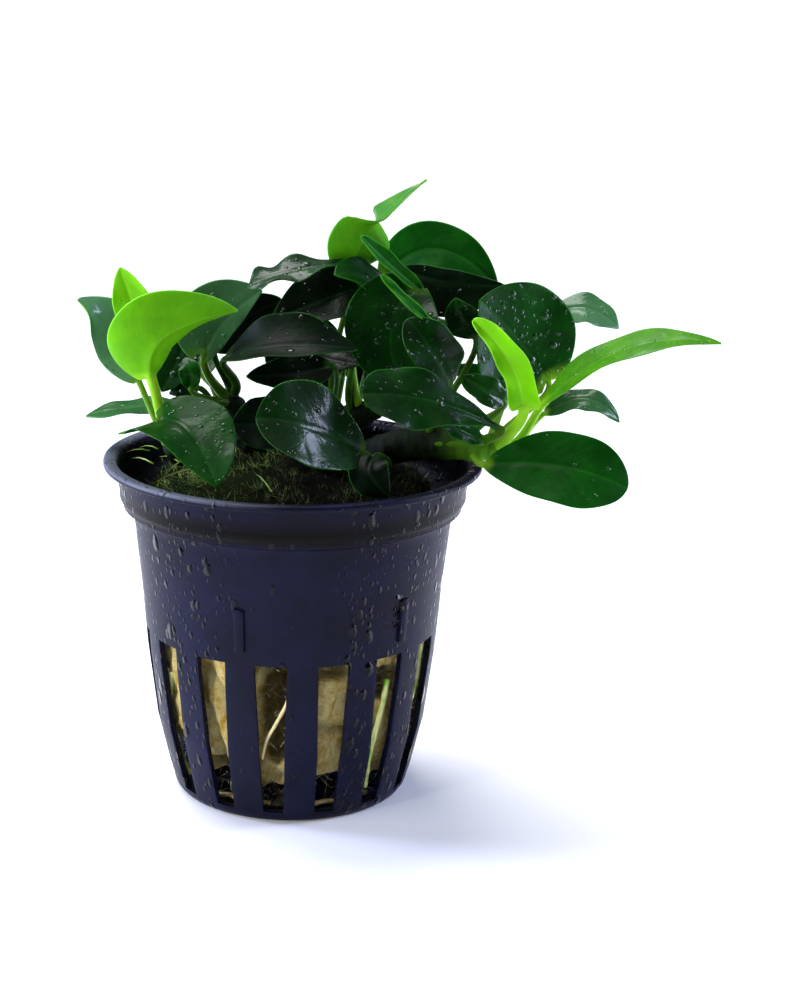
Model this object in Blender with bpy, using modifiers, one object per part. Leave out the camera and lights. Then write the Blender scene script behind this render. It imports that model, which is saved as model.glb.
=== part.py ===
"""Potted dwarf anubias: a slotted net pot packed with mineral wool, creeping rhizomes, leaves and roots.

Lengths are written in millimetres and turned into metres when a mesh is made.
+Z is up, the origin is the centre of the pot's base, and -Y is the side that the plant faces.
"""

import math

import bmesh
import bpy
import numpy as np

MM = 0.001
GAP = 0.3

# Driving dimensions of the pot.
POT_HEIGHT = 50.0
RIM_RADIUS = 27.5
MOUTH_RADIUS = 25.2
COLLAR_RADIUS = 25.4
COLLAR_FOOT = 43.3
BASE_RADIUS = 16.6
WALL = 0.9
FLOOR = 1.2
SEGMENTS = 42

# Wall of the pot from under the collar down to the base: height and outer radius.
WALL_STATIONS = ((42.7, 23.3), (32.0, 22.1), (22.0, 21.3), (11.0, 19.9), (3.0, 18.0))

# The slots, the holes in the floor and the short ridges over some of the bars between slots.
SLOTS = 15
SLOT_TURN = -4.9
SLOT_TOP, SLOT_FOOT = 25.2, 1.5
SLOT_WIDTH_TOP, SLOT_WIDTH_FOOT = 4.7, 2.95
HOLE_INNER, HOLE_OUTER = 6.0, 14.2
HOLE_WIDTH_INNER, HOLE_WIDTH_OUTER = 1.4, 3.0
RIDGE_TURNS = (-16.4, 48.0, 112.5, 177.0, 241.5)
RIDGE_SIZE = (1.5, 0.9, 6.4)
RIDGE_HEIGHT = 30.3

# The wool fills the pot, with room beside the slots for the roots that run there.
WOOL_STATIONS = (
    (4.2, 12.8), (5.6, 15.6), (11.0, 17.6), (22.0, 19.0), (31.0, 19.7),
    (36.0, 20.9), (42.0, 21.6), (44.6, 23.0), (45.8, 21.0), (46.4, 11.0),
)
WOOL_SEGMENTS = 20

ROOT_RADIUS = 0.4
ROOT_INSET = 0.65

LEAF_RING = 6
LEAF_THICKNESS = 0.55
TIP_WIDTH = 0.2
STALK_RADIUS_FOOT, STALK_RADIUS_BLADE = 0.6, 0.42
STALK_STATIONS = (0.0, 0.38, 0.8)
BLADE_STATIONS = (0.03, 0.12, 0.28, 0.5, 0.72, 0.9, 1.0)
SOFT = (15, 15)

FRONT, LEFT, MIDDLE = "rhizome_front", "rhizome_left", "rhizome_middle"
BACK, RIGHT = "rhizome_back", "rhizome_right"

# Each creeping stem is a route and the radius at each point of it.
RHIZOMES = {
    FRONT: (((-15, 2, 48.9), (-16.5, -1, 50.4), (-17.5, -3.5, 52.0)), (1.7, 1.8, 1.3)),
    LEFT: (((-5, 6, 49.4), (-7.5, 8, 51.5), (-9.5, 9, 54.0), (-10, 9, 57.0)), (2.2, 2.6, 2.4, 1.6)),
    MIDDLE: (((2, 0, 49.0), (6, -4, 50.0), (12, -7.5, 50.6)), (1.8, 2.0, 1.4)),
    BACK: (((-1, 10, 49.0), (4, 10.5, 51.0), (9, 9.5, 54.0), (14, 8, 57.0)), (1.9, 2.2, 2.1, 1.5)),
    RIGHT: (
        ((9, 3, 49.4), (14, 1, 51.4), (20, -2, 52.9), (25, -4, 53.2), (30, -4.5, 52.8)),
        (1.9, 2.3, 2.4, 2.1, 1.4),
    ),
}


def leaf(name, perch, base, mid, tip, face, width, cup=SOFT, lobe=1.0, full=0.42):
    """One leaf: the rhizome, the share of the way along it and the direction in which the stalk leaves it,
    three points of the midrib, the way the upper side looks, half-widths left and right of the midrib, how
    many degrees each half curls up, how far the base lobes reach back, and where the blade is widest."""
    return {
        "name": name, "perch": perch, "base": base, "mid": mid, "tip": tip,
        "face": face, "width": width, "cup": cup, "lobe": lobe, "full": full,
    }


LEAVES = (
    leaf("leaf_lime_hood", (FRONT, 1.0, (-0.3, -0.3, 1)),
         (-20, -6, 63), (-17.5, -9, 69.5), (-8, -4, 72),
         (0, 0.9, 0.4), (2.6, 6.9), (30, 30), 1.5, 0.37),
    leaf("leaf_lime_spear", (FRONT, 0.8, (-0.4, 0.7, 1)),
         (-22, 1, 64.5), (-23, 1, 71), (-25, 0, 77),
         (-0.2, -0.9, 0.4), (2.9, 4), (20, 50), 0.6, 0.45),
    leaf("leaf_grey_left", (FRONT, 0.5, (-1, 0.3, 0.8)),
         (-23, 2, 61), (-26.5, 3, 66.5), (-31, 0, 72.5),
         (-0.3, -0.5, 0.8), (3.6, 5.5), (15, 20), 1, 0.42),
    leaf("leaf_dark_hanging", (LEFT, 0.6, (-1, 1, 0)),
         (-16.5, 9, 65.5), (-18, 7, 62), (-20, 5, 58),
         (-0.2, -0.9, 0.3), (3.2, 3.2), SOFT, 0.8, 0.42),
    leaf("leaf_edge_left", (FRONT, 0.0, (0.2, 1, 0.3)),
         (-16, 6, 55.5), (-23.5, 5, 55.5), (-31, 4, 54),
         (0, -0.1, 1), (3.6, 3.6), (10, 10), 1, 0.5),
    leaf("leaf_front_left", (FRONT, 0.7, (0.8, -0.6, 0.1)),
         (-18.5, -9, 57), (-14, -13, 56), (-9.5, -20, 50.5),
         (0.3, -0.6, 0.75), (6.6, 5.6), (20, 8), 4.2, 0.42),
    leaf("leaf_grey_back_left", (LEFT, 0.8, (-0.8, 0.1, 1)),
         (-13.5, 4, 64.5), (-10.5, 6, 68.5), (-5.5, 7, 73),
         (0.2, -0.7, 0.6), (6.6, 2.4), SOFT, 2.2, 0.42),
    leaf("leaf_little_heart", (LEFT, 0.8, (-0.8, -1, 0.6)),
         (-15, 0, 60), (-15, -1, 62.5), (-15.5, 1, 64),
         (0, -0.9, 0.4), (1.6, 1.6), SOFT, 0.9, 0.5),
    leaf("leaf_little_dark", (LEFT, 0.62, (-1, 0, 0)),
         (-14.5, 6, 58.5), (-16.5, 6, 58.5), (-19, 6, 57.5),
         (0, -0.8, 0.6), (1.6, 1.6), SOFT, 0.4, 0.4),
    leaf("leaf_long_oval", (LEFT, 0.95, (0.7, -0.7, 1)),
         (-9.5, -2, 65), (-1, -6, 67.5), (9, -4, 66.5),
         (0, -0.5, 0.86), (6, 3.4), (30, 30), 1.2, 0.45),
    leaf("leaf_upper_dark", (BACK, 0.65, (-0.6, -0.5, 1)),
         (9.5, 4.5, 74), (3.5, 3, 72.5), (-3.5, 0.5, 70),
         (-0.1, -0.6, 0.75), (5, 5.4), SOFT, 1.2, 0.42),
    leaf("leaf_upper_gloss", (BACK, 0.8, (-0.4, -1, 1)),
         (12.5, 7.5, 72.5), (9.5, 4.5, 75.5), (5.5, 1.5, 76.5),
         (0, -0.6, 0.8), (3.6, 4), (20, 20), 0.8, 0.4),
    leaf("leaf_top_left_flat", (BACK, 0.5, (-0.6, -0.2, 1)),
         (7, 7, 77.5), (-2, 3, 76.5), (-7, 2, 74.5),
         (-0.1, -0.4, 0.9), (3, 3.2), (25, 10), 1, 0.5),
    leaf("leaf_black_under", (LEFT, 0.95, (-0.2, 1, 1)),
         (-12, 8, 64.5), (-8, 10, 68.5), (-2.5, 11, 71),
         (0.3, 0.8, 0.5), (4.2, 3.6), (20, 20), 1, 0.45),
    leaf("leaf_centre_broad", (BACK, 0.95, (0.9, -0.6, 0.8)),
         (16.5, 2.5, 74.5), (14, -1, 69.5), (15, -2.5, 61),
         (-0.1, -0.85, 0.5), (6.8, 6.8), SOFT, 2.2, 0.45),
    leaf("leaf_centre_gloss", (RIGHT, 0.5, (-0.3, -0.3, 1)),
         (22.5, -4, 62), (20, -7, 67.5), (16, -5, 71.5),
         (0.1, -0.8, 0.6), (3.8, 3.9), (15, 35), 0.8, 0.45),
    leaf("leaf_centre_right", (RIGHT, 0.85, (0, -1, 0.9)),
         (29.5, -9, 57), (20.5, -12, 61.5), (10, -15, 62.5),
         (0, -0.7, 0.7), (5.2, 4.8), (8, 8), 0.3, 0.72),
    leaf("leaf_front_gloss", (MIDDLE, 1.0, (0.3, -1, 0.3)),
         (10, -14, 54.5), (3, -20, 59.5), (-4, -22, 61),
         (-0.1, -0.75, 0.65), (6.3, 6.8), SOFT, 1, 0.5),
    leaf("leaf_front_behind", (MIDDLE, 0.1, (-0.8, -0.6, 0.5)),
         (0, -8, 57.5), (-4.5, -9, 57), (-8, -10, 57),
         (0, -0.8, 0.6), (4.2, 4.2), SOFT, 1, 0.45),
    leaf("leaf_centre_small", (MIDDLE, 0.4, (-0.2, 0.4, 1)),
         (4.5, -1, 64), (-0.5, -4, 63), (-6.5, -6, 63),
         (0, -0.7, 0.7), (3.2, 3), (20, 20), 0.8, 0.42),
    leaf("leaf_centre_strip", (BACK, 0.3, (-0.4, -0.8, 1)),
         (0.5, 5, 64.5), (5, 3, 64), (9, 1, 63.5),
         (0, -0.5, 0.85), (3.4, 3), (10, 10), 0.8, 0.42),
    leaf("leaf_top_lime", (BACK, 0.7, (-0.3, -0.3, 1)),
         (7.5, 10, 75.5), (10.5, 6, 82.5), (18, 8, 89.5),
         (-0.3, 0.95, 0.15), (4.6, 4.6), (10, 30), 1.6, 0.36),
    leaf("leaf_top_right_back", (BACK, 0.92, (0.1, 1, 1)),
         (13, 14.5, 74.5), (20.5, 12.5, 78.5), (29, 10.5, 73.5),
         (0.1, -0.8, 0.5), (4.4, 6.2), SOFT, 1.6, 0.42),
    leaf("leaf_top_right_dark", (BACK, 0.8, (-0.3, 0.3, 1)),
         (15.5, 10.5, 76), (22, 7.5, 75), (30, 4.5, 75),
         (0, -0.9, 0.3), (2, 5.4), SOFT, 0.8, 0.45),
    leaf("leaf_rolled_new", (BACK, 1.0, (1, 0.1, 0.8)),
         (18.5, 4, 74), (13.5, 1, 78), (9, -2, 82.5),
         (0, -0.8, 0.6), (1.5, 1.5), (70, 70), 0, 0.5),
    leaf("leaf_rolled_narrow", (RIGHT, 0.45, (-0.2, 0.6, 1)),
         (21, -2, 69), (16.5, -6, 73.5), (12, -7, 78),
         (0, -0.8, 0.6), (0.85, 0.85), (70, 70), 0, 0.5),
    leaf("leaf_right_drops", (RIGHT, 0.95, (0.3, 0.6, 1)),
         (36.5, 4, 61.5), (31.5, 3, 68), (26, 0, 73.5),
         (0.1, -0.85, 0.5), (9.6, 9), SOFT, 1.6, 0.42),
    leaf("leaf_right_behind", (RIGHT, 0.9, (0.2, 1, 0.5)),
         (38.5, 9.5, 70.5), (43, 9, 71), (47, 8, 68.5),
         (0.1, -0.5, 0.85), (3.2, 3.9), SOFT, 0.6, 0.42),
    leaf("leaf_long_right", (RIGHT, 1.0, (1, -0.5, 0.4)),
         (36, -4, 60), (46.5, -7, 68.5), (59.5, -8, 70),
         (0, -0.3, 0.95), (3.6, 3.3), (20, 10), 1, 0.42),
    leaf("leaf_lime_roll", (RIGHT, 0.97, (0.4, -0.6, 1)),
         (32.5, -10, 60.5), (30, -11.5, 67.5), (25, -11, 72.5),
         (-0.3, -0.9, 0.2), (2.1, 3.2), (60, 50), 0.4, 0.2),
    leaf("leaf_right_low", (RIGHT, 0.8, (0, -1, -0.5)),
         (28, -9, 52), (38, -12, 52.5), (47.5, -13, 50),
         (0.1, -0.75, 0.65), (5.6, 6.2), (10, 10), 0.8, 0.58),
    leaf("leaf_right_arch", (RIGHT, 1.0, (1, 0.5, 0.2)),
         (36.5, 2, 57), (42.5, 1, 59.5), (47, 0, 56.5),
         (0, -0.5, 0.9), (2.3, 2.6), (10, 10), 0.5, 0.42),
    leaf("leaf_right_olive", (RIGHT, 0.7, (0.1, 0.9, 0.6)),
         (30.5, 5, 58.5), (27, 4, 60.5), (23, 3, 63.5),
         (0, -0.8, 0.5), (2.6, 2.6), (10, 10), 0.6, 0.42),
    leaf("leaf_right_grey", (RIGHT, 0.75, (0.2, -0.3, 1)),
         (30, -2.5, 59.5), (27.5, -3.5, 61.5), (24, -3.5, 63),
         (0, -0.8, 0.5), (2.2, 2.2), (10, 10), 0.4, 0.42),
    leaf("leaf_rim_dark", (MIDDLE, 1.0, (1, -0.3, 0.1)),
         (12, -15.5, 54), (11.5, -18.5, 52), (14, -19.5, 49.5),
         (-0.2, -0.9, 0.3), (3, 3), SOFT, 0.6, 0.45),
    leaf("leaf_under_centre", (RIGHT, 0.5, (0, -1, 0.3)),
         (26.5, -7, 54.5), (24, -8, 56.5), (20.5, -8.5, 58),
         (0, -0.7, 0.7), (1.8, 1.8), (10, 10), 0.5, 0.45),
    leaf("leaf_grey_gloss", (RIGHT, 0.55, (-0.2, 0.6, 1)),
         (25.5, 2.5, 68), (24, 1, 71), (23, 0, 74),
         (-0.4, -0.8, 0.4), (2.9, 2.6), (10, 10), 0.5, 0.4),
    leaf("leaf_back_middle", (BACK, 0.12, (-0.9, 0.7, 0.5)),
         (2, 11, 68), (1, 11, 61.5), (-0.5, 10.5, 56.5),
         (-0.1, 0.95, 0.2), (6.4, 6), SOFT, 1.2, 0.45),
    leaf("leaf_back_low", (BACK, 0.6, (0.3, 1, 0.4)),
         (11.5, 16, 64.5), (11, 18, 59.5), (11, 18, 54.5),
         (0.1, 0.95, 0.2), (5.2, 3.8), SOFT, 1.2, 0.45),
    leaf("leaf_back_left", (LEFT, 0.7, (-0.4, 1, 0.5)),
         (-15, 14.5, 59), (-19, 20, 60.5), (-24, 25.5, 57),
         (-0.3, 0.3, 0.9), (4.8, 4.8), SOFT, 1.2, 0.42),
    leaf("leaf_back_right", (BACK, 0.97, (0.8, 1, 0.1)),
         (18, 15, 64), (23, 20.5, 66), (29, 26, 62.5),
         (0.3, 0.3, 0.9), (5, 5), SOFT, 1.4, 0.42),
    leaf("leaf_back_high", (BACK, 0.42, (0, 1, 0.1)),
         (8, 16.5, 69), (8, 22, 72), (7, 28, 70),
         (0, 0.5, 0.9), (5.2, 5.2), SOFT, 1.4, 0.42),
)
YOUNG_LEAVES = {
    "leaf_lime_hood", "leaf_lime_spear", "leaf_top_lime",
    "leaf_rolled_new", "leaf_rolled_narrow", "leaf_lime_roll",
}

# Roots beside the slots: degrees round from the front, positive to the right, and height.
SLOT_ROOTS = {
    "root_slot_left_high": ((-84, 29.0), (-81, 25.0), (-80.5, 19.0), (-82, 13.0)),
    "root_slot_left_low": ((-60, 20.0), (-66.5, 14.6), (-70, 9.5), (-67, 5.5), (-60, 3.4)),
    "root_slot_front": ((5, 24.0), (1.2, 19.2), (-3.5, 15.8), (-7.5, 13.2), (-10, 10.0)),
    "root_slot_right_near": ((47, 21.0), (46, 17.5), (43.1, 12.3), (42.5, 8.0), (44, 3.6)),
    "root_slot_right_far": ((74, 29.0), (74.5, 23.6), (74.5, 17.5), (67, 13.7), (67, 8.5), (65, 3.6)),
    "root_slot_back": ((150, 28.0), (156, 21.0), (170, 14.0), (173, 8.0), (165, 4.0)),
    "root_slot_back_left": ((232, 29.0), (226, 22.0), (233, 14.0), (228, 7.0)),
}
# Roots lying on the floor round the foot of the wool.
FLOOR_ROOTS = {"root_floor_left": (-52, -8), "root_floor_right": (2, 50)}
FLOOR_ROOT_RADIUS = 15.2


# ---------------------------------------------------------------- geometry


def unit(v):
    v = np.asarray(v, float)
    return v / np.linalg.norm(v)


def wall_radius(height):
    """Outer radius of the pot's wall at a height."""
    heights, radii = zip(*WALL_STATIONS[::-1])
    return float(np.interp(height, heights, radii))


def round_point(degrees, radius, height):
    """A point at an angle from the front of the pot, positive to the right."""
    a = math.radians(degrees)
    return (radius * math.sin(a), -radius * math.cos(a), height)


def along(points, share):
    """The point at a share of the way along a route, and its place in the list of points."""
    points = np.asarray(points, float)
    place = share * (len(points) - 1)
    i = min(int(place), len(points) - 2)
    return points[i] + (points[i + 1] - points[i]) * (place - i), place


def foot_of(perch):
    """Where a stalk starts: just clear of the rhizome's skin, on the side its direction gives."""
    rhizome, share, direction = perch
    route, radii = RHIZOMES[rhizome]
    centre, place = along(route, share)
    out = unit(direction)
    radius = float(np.interp(place, range(len(radii)), radii))
    return centre + out * (radius + GAP), out


def midrib(leaf_spec, t):
    """Point and direction on the quadratic through base, mid and tip."""
    b, m, e = (np.array(leaf_spec[key], float) for key in ("base", "mid", "tip"))
    point = b * (1 - t) * (1 - 2 * t) + m * 4 * t * (1 - t) + e * t * (2 * t - 1)
    return point, unit(b * (4 * t - 3) + m * (4 - 8 * t) + e * (4 * t - 1))


def stalk(leaf_spec, t):
    """Point and direction on a Bezier curve from the rhizome into the blade's base."""
    foot, out = foot_of(leaf_spec["perch"])
    base, into = midrib(leaf_spec, 0.0)
    reach = np.linalg.norm(base - foot)
    c1, c2 = foot + out * reach * 0.3, base - into * min(reach * 0.3, 4.0)
    u = 1 - t
    point = u**3 * foot + 3 * u**2 * t * c1 + 3 * u * t**2 * c2 + t**3 * base
    run = u**2 * (c1 - foot) + 2 * u * t * (c2 - c1) + t**2 * (base - c2)
    return point, unit(run)


def square_to(normal, run):
    return unit(normal - (normal @ run) * run)


def ovate(t, full):
    """Share of the full width: t^p (1-t)^q, which is 1 where t is full."""
    p, q = 1.4 * full, 1.4 * (1 - full)
    return t**p * (1 - t) ** q / (full**p * (1 - full) ** q)


def leaf_rings(spec):
    """Rings of points from the foot of the stalk to the tip: round on the stalk, then flat and wide."""
    angles = [math.tau * k / LEAF_RING for k in range(LEAF_RING)]
    face = unit(spec["face"])
    rings = []
    normal = square_to(face, midrib(spec, 0.0)[1])
    for t in reversed(STALK_STATIONS):
        point, run = stalk(spec, t)
        normal = square_to(normal, run)
        side = np.cross(run, normal)
        radius = STALK_RADIUS_FOOT + (STALK_RADIUS_BLADE - STALK_RADIUS_FOOT) * t
        rings.insert(0, [point + radius * (side * math.cos(a) + normal * math.sin(a)) for a in angles])
    for t in BLADE_STATIONS:
        point, run = midrib(spec, t)
        normal = square_to(face, run)
        side = np.cross(run, normal)
        ring = []
        for a in angles:
            s = math.cos(a)
            right = s > 0
            half = spec["width"][right] * ovate(t, spec["full"])
            half = max(half, STALK_RADIUS_BLADE * (1 - t), TIP_WIDTH)
            curl = math.radians(spec["cup"][right])
            across = half * math.sin(curl * abs(s)) / curl * (1 if right else -1)
            rise = half * (1 - math.cos(curl * s)) / curl
            back = spec["lobe"] * (1 - t) ** 3 * abs(s) ** 1.6
            skin = LEAF_THICKNESS / 2 * math.sin(a)
            ring.append(point + side * across + normal * (rise + skin) - run * back)
        rings.append(ring)
    return rings


# ---------------------------------------------------------------- Blender objects


def collection(name):
    made = bpy.data.collections.new(name)
    bpy.context.scene.collection.children.link(made)
    return made


def material(name, colour, roughness):
    made = bpy.data.materials.new(name)
    made.use_nodes = True
    shader = made.node_tree.nodes["Principled BSDF"]
    shader.inputs["Base Color"].default_value = (*colour, 1)
    shader.inputs["Roughness"].default_value = roughness
    made.diffuse_color = (*colour, 1)
    return made


def place(bm, name, group, finish):
    """An object from a bmesh drawn in millimetres."""
    bmesh.ops.scale(bm, vec=(MM, MM, MM), verts=bm.verts)
    mesh = bpy.data.meshes.new(name)
    bm.to_mesh(mesh)
    bm.free()
    mesh.shade_smooth()
    mesh.set_sharp_from_angle(angle=math.radians(40))
    obj = bpy.data.objects.new(name, mesh)
    group.objects.link(obj)
    obj.data.materials.append(finish)
    return obj


def loft(rings, name, group, finish):
    """A closed skin over rings that all have the same number of points."""
    bm = bmesh.new()
    rows = [[bm.verts.new(p) for p in ring] for ring in rings]
    for low, high in zip(rows, rows[1:]):
        for i in range(len(low)):
            j = (i + 1) % len(low)
            bm.faces.new((low[i], low[j], high[j], high[i]))
    bm.faces.new(rows[0][::-1])
    bm.faces.new(rows[-1])
    bmesh.ops.recalc_face_normals(bm, faces=bm.faces)
    return place(bm, name, group, finish)


def turned(name, outline, segments, group, finish):
    """A closed outline of (radius, height) points, turned about Z by a Screw modifier."""
    bm = bmesh.new()
    points = [bm.verts.new((r, 0, z)) for r, z in outline]
    for a, b in zip(points, points[1:]):
        bm.edges.new((a, b))
    if outline[0][0] > 0:
        bm.edges.new((points[-1], points[0]))
    obj = place(bm, name, group, finish)
    screw = obj.modifiers.new("Turn", "SCREW")
    screw.steps = screw.render_steps = segments
    screw.use_merge_vertices = True
    screw.merge_threshold = 0.00005
    screw.use_smooth_shade = True
    return obj


def tube(name, points, radii, group, finish, resolution=1):
    """A round tube along a route, with a radius at each point."""
    data = bpy.data.curves.new(name, "CURVE")
    data.dimensions = "3D"
    data.bevel_depth = MM
    data.bevel_resolution = resolution
    data.use_fill_caps = True
    spline = data.splines.new("POLY")
    spline.points.add(len(points) - 1)
    for place_at, point, radius in zip(spline.points, points, radii):
        place_at.co = (*(MM * float(c) for c in point), 1)
        place_at.radius = radius
    obj = bpy.data.objects.new(name, data)
    group.objects.link(obj)
    data.materials.append(finish)
    return obj


def smooth_route(points, radii, steps):
    """The route and its radii resampled on a Catmull-Rom curve."""
    p = np.column_stack([np.asarray(points, float), radii])
    p = np.vstack([2 * p[0] - p[1], p, 2 * p[-1] - p[-2]])
    made = []
    for i in range(1, len(p) - 2):
        for k in range(steps):
            t = k / steps
            a, b, c, d = p[i - 1 : i + 3]
            bend = (2 * a - 5 * b + 4 * c - d) * t**2 + (3 * b - a - 3 * c + d) * t**3
            made.append(0.5 * (2 * b + (c - a) * t + bend))
    made = np.array(made + [p[-2]])
    return made[:, :3], made[:, 3]


def box_ring(half_width, inner, outer, height):
    """Four corners, level, between two distances in front of the axis."""
    return [
        (-half_width, -outer, height), (half_width, -outer, height),
        (half_width, -inner, height), (-half_width, -inner, height),
    ]


def turn_ring(ring, degrees):
    a = math.radians(degrees)
    return [(x * math.cos(a) - y * math.sin(a), x * math.sin(a) + y * math.cos(a), z) for x, y, z in ring]


def slot_cutter(index, group, finish):
    """A block that is wide at the slot's top and narrow at its foot, through the wall."""
    inner, outer = 12.0, RIM_RADIUS
    rings = []
    for height, width in ((SLOT_FOOT, SLOT_WIDTH_FOOT), (SLOT_TOP, SLOT_WIDTH_TOP)):
        w = width / 2
        rings.append(box_ring(w, inner, outer, height))
    turn = SLOT_TURN + 360 / SLOTS * index
    return loft([turn_ring(ring, turn) for ring in rings], f"slot_cutter_{index}", group, finish)


def hole_cutter(index, group, finish):
    """A block that widens outwards, through the floor."""
    a, b = HOLE_WIDTH_INNER / 2, HOLE_WIDTH_OUTER / 2
    rings = [
        [(-a, -HOLE_INNER, z), (a, -HOLE_INNER, z), (b, -HOLE_OUTER, z), (-b, -HOLE_OUTER, z)]
        for z in (-1.0, 2 * FLOOR)
    ]
    turn = SLOT_TURN + 360 / SLOTS * index
    return loft([turn_ring(ring, turn) for ring in rings], f"hole_cutter_{index}", group, finish)


def ridge(index, turn, group, finish):
    """A short upright ridge that stands a little out of the wall."""
    wide, deep, tall = (size / 2 for size in RIDGE_SIZE)
    rings = []
    for height in (RIDGE_HEIGHT - tall, RIDGE_HEIGHT + tall):
        r = wall_radius(height)
        rings.append(box_ring(wide, r - deep, r + deep, height))
    return loft([turn_ring(ring, turn) for ring in rings], f"ridge_{index}", group, finish)


def as_helper(objects):
    for obj in objects:
        obj.hide_render = True
        obj.display_type = "WIRE"


def combine(obj, label, operation, others):
    step = obj.modifiers.new(label, "BOOLEAN")
    step.operation = operation
    step.operand_type = "COLLECTION"
    step.collection = others
    step.solver = "EXACT"


def build_pot(group, finish):
    """Rim flange, collar, tapering wall with slots and ridges, and a flat floor with holes."""
    outer = [(RIM_RADIUS - 0.3, POT_HEIGHT), (RIM_RADIUS, POT_HEIGHT - 0.3), (RIM_RADIUS, POT_HEIGHT - 0.9)]
    outer += [(COLLAR_RADIUS + 0.1, POT_HEIGHT - 1.2), (COLLAR_RADIUS - 0.3, COLLAR_FOOT + 0.9), (COLLAR_RADIUS - 0.9, COLLAR_FOOT)]
    outer += [(r, z) for z, r in WALL_STATIONS]
    outer += [(BASE_RADIUS, 0.0), (0.0, 0.0)]
    inner = [(0.0, FLOOR), (BASE_RADIUS - 1.0, FLOOR)]
    inner += [(r - WALL, z + 0.2) for z, r in WALL_STATIONS[::-1]]
    inner += [(COLLAR_RADIUS - WALL, COLLAR_FOOT + 0.4)]
    inner += [(MOUTH_RADIUS, POT_HEIGHT - 0.4), (MOUTH_RADIUS + 0.4, POT_HEIGHT)]
    outline = outer + inner
    # The outline starts and ends on the axis, so the turned wall closes there.
    start = outline.index((0.0, FLOOR))
    pot = turned("net_pot", outline[start:] + outline[:start], SEGMENTS, group, finish)
    ridges = collection("pot ridges")
    as_helper([ridge(i, turn, ridges, finish) for i, turn in enumerate(RIDGE_TURNS)])
    combine(pot, "Ridges", "UNION", ridges)
    cutters = collection("pot cutters")
    as_helper([slot_cutter(i, cutters, finish) for i in range(SLOTS)])
    as_helper([hole_cutter(i, cutters, finish) for i in range(SLOTS)])
    combine(pot, "Slots", "DIFFERENCE", cutters)
    return pot


def build_wool(group, finish):
    top, foot = WOOL_STATIONS[-1], WOOL_STATIONS[0]
    outline = [(0.0, top[0])] + [(r, z) for z, r in WOOL_STATIONS[::-1]] + [(0.0, foot[0])]
    return turned("mineral_wool", outline, WOOL_SEGMENTS, group, finish)


def build_roots(group, finish):
    for name, stops in SLOT_ROOTS.items():
        points = [round_point(turn, wall_radius(z) - WALL - ROOT_INSET, z) for turn, z in stops]
        points, radii = smooth_route(points, [ROOT_RADIUS] * len(points), 2)
        tube(name, points, radii, group, finish)
    for name, (start, end) in FLOOR_ROOTS.items():
        turns = np.linspace(start, end, 9)
        points = [round_point(turn, FLOOR_ROOT_RADIUS, FLOOR + GAP + ROOT_RADIUS) for turn in turns]
        tube(name, points, [ROOT_RADIUS * 0.8] * len(points), group, finish)


def build_plant(group, leaf_finish, young_finish, stem_finish, root_finish):
    for name, (points, radii) in RHIZOMES.items():
        tube(name, *smooth_route(points, radii, 3), group, stem_finish, resolution=2)
    for spec in LEAVES:
        finish = young_finish if spec["name"] in YOUNG_LEAVES else leaf_finish
        loft(leaf_rings(spec), spec["name"], group, finish)
    build_roots(group, root_finish)


def main():
    for obj in list(bpy.data.objects):
        bpy.data.objects.remove(obj, do_unlink=True)
    parts = collection("potted anubias")
    plastic = material("dark blue plastic", (0.016, 0.018, 0.045), 0.4)
    wool = material("mineral wool", (0.42, 0.30, 0.12), 0.95)
    dark_leaf = material("grown leaf", (0.015, 0.09, 0.025), 0.35)
    young_leaf = material("young leaf", (0.20, 0.50, 0.03), 0.4)
    stem = material("rhizome", (0.13, 0.24, 0.04), 0.5)
    root = material("root", (0.45, 0.50, 0.20), 0.6)
    build_pot(parts, plastic)
    build_wool(parts, wool)
    build_plant(parts, dark_leaf, young_leaf, stem, root)


main()
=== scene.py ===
"""Looks for the potted dwarf anubias: leaves, rhizomes and roots, mineral wool with moss, and the net pot.

Lengths are in millimetres until a mesh is made. +Z is up and -Y is the side that the plant faces.
"""

import math

import bmesh
import bpy
import numpy as np
from mathutils import Matrix, Vector


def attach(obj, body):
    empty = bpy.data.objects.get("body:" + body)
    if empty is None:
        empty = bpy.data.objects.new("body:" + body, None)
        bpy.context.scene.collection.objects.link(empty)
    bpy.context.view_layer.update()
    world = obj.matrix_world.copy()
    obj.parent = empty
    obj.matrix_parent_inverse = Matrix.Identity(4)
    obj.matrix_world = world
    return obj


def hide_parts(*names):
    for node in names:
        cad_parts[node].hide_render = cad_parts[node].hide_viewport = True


MM = 0.001
TAU = math.tau

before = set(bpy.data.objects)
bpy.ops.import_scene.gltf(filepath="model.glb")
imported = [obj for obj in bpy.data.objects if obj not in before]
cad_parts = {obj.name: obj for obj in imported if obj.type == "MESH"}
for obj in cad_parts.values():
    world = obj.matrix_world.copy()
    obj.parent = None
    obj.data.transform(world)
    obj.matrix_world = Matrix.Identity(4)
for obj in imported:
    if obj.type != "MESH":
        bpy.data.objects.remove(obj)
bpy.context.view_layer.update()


# ---------------------------------------------------------------- camera, light and floor


def stand(name, data):
    """A new object in the scene."""
    made = bpy.data.objects.new(name, data)
    bpy.context.scene.collection.objects.link(made)
    return made


def camera():
    """A long lens in front of the pot, a little above it and leaning slightly."""
    tilt, lean, distance = math.radians(15.46), math.radians(1.38), 307.0
    target = Vector((15.43, 0.0, 43.77))
    back = Vector((0.0, -math.cos(tilt), math.sin(tilt)))
    right = Vector((1.0, 0.0, 0.0))
    up = back.cross(right)
    leaning = math.cos(lean) * right + math.sin(lean) * up
    upright = math.cos(lean) * up - math.sin(lean) * right
    data = bpy.data.cameras.new("camera")
    data.sensor_width = 36.0
    data.lens = 75.6
    data.clip_start, data.clip_end = 0.01, 60.0
    made = stand("camera", data)
    turn = Matrix((leaning, upright, back)).transposed().to_4x4()
    made.matrix_world = Matrix.Translation((target + back * distance) * MM) @ turn
    bpy.context.scene.camera = made


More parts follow.
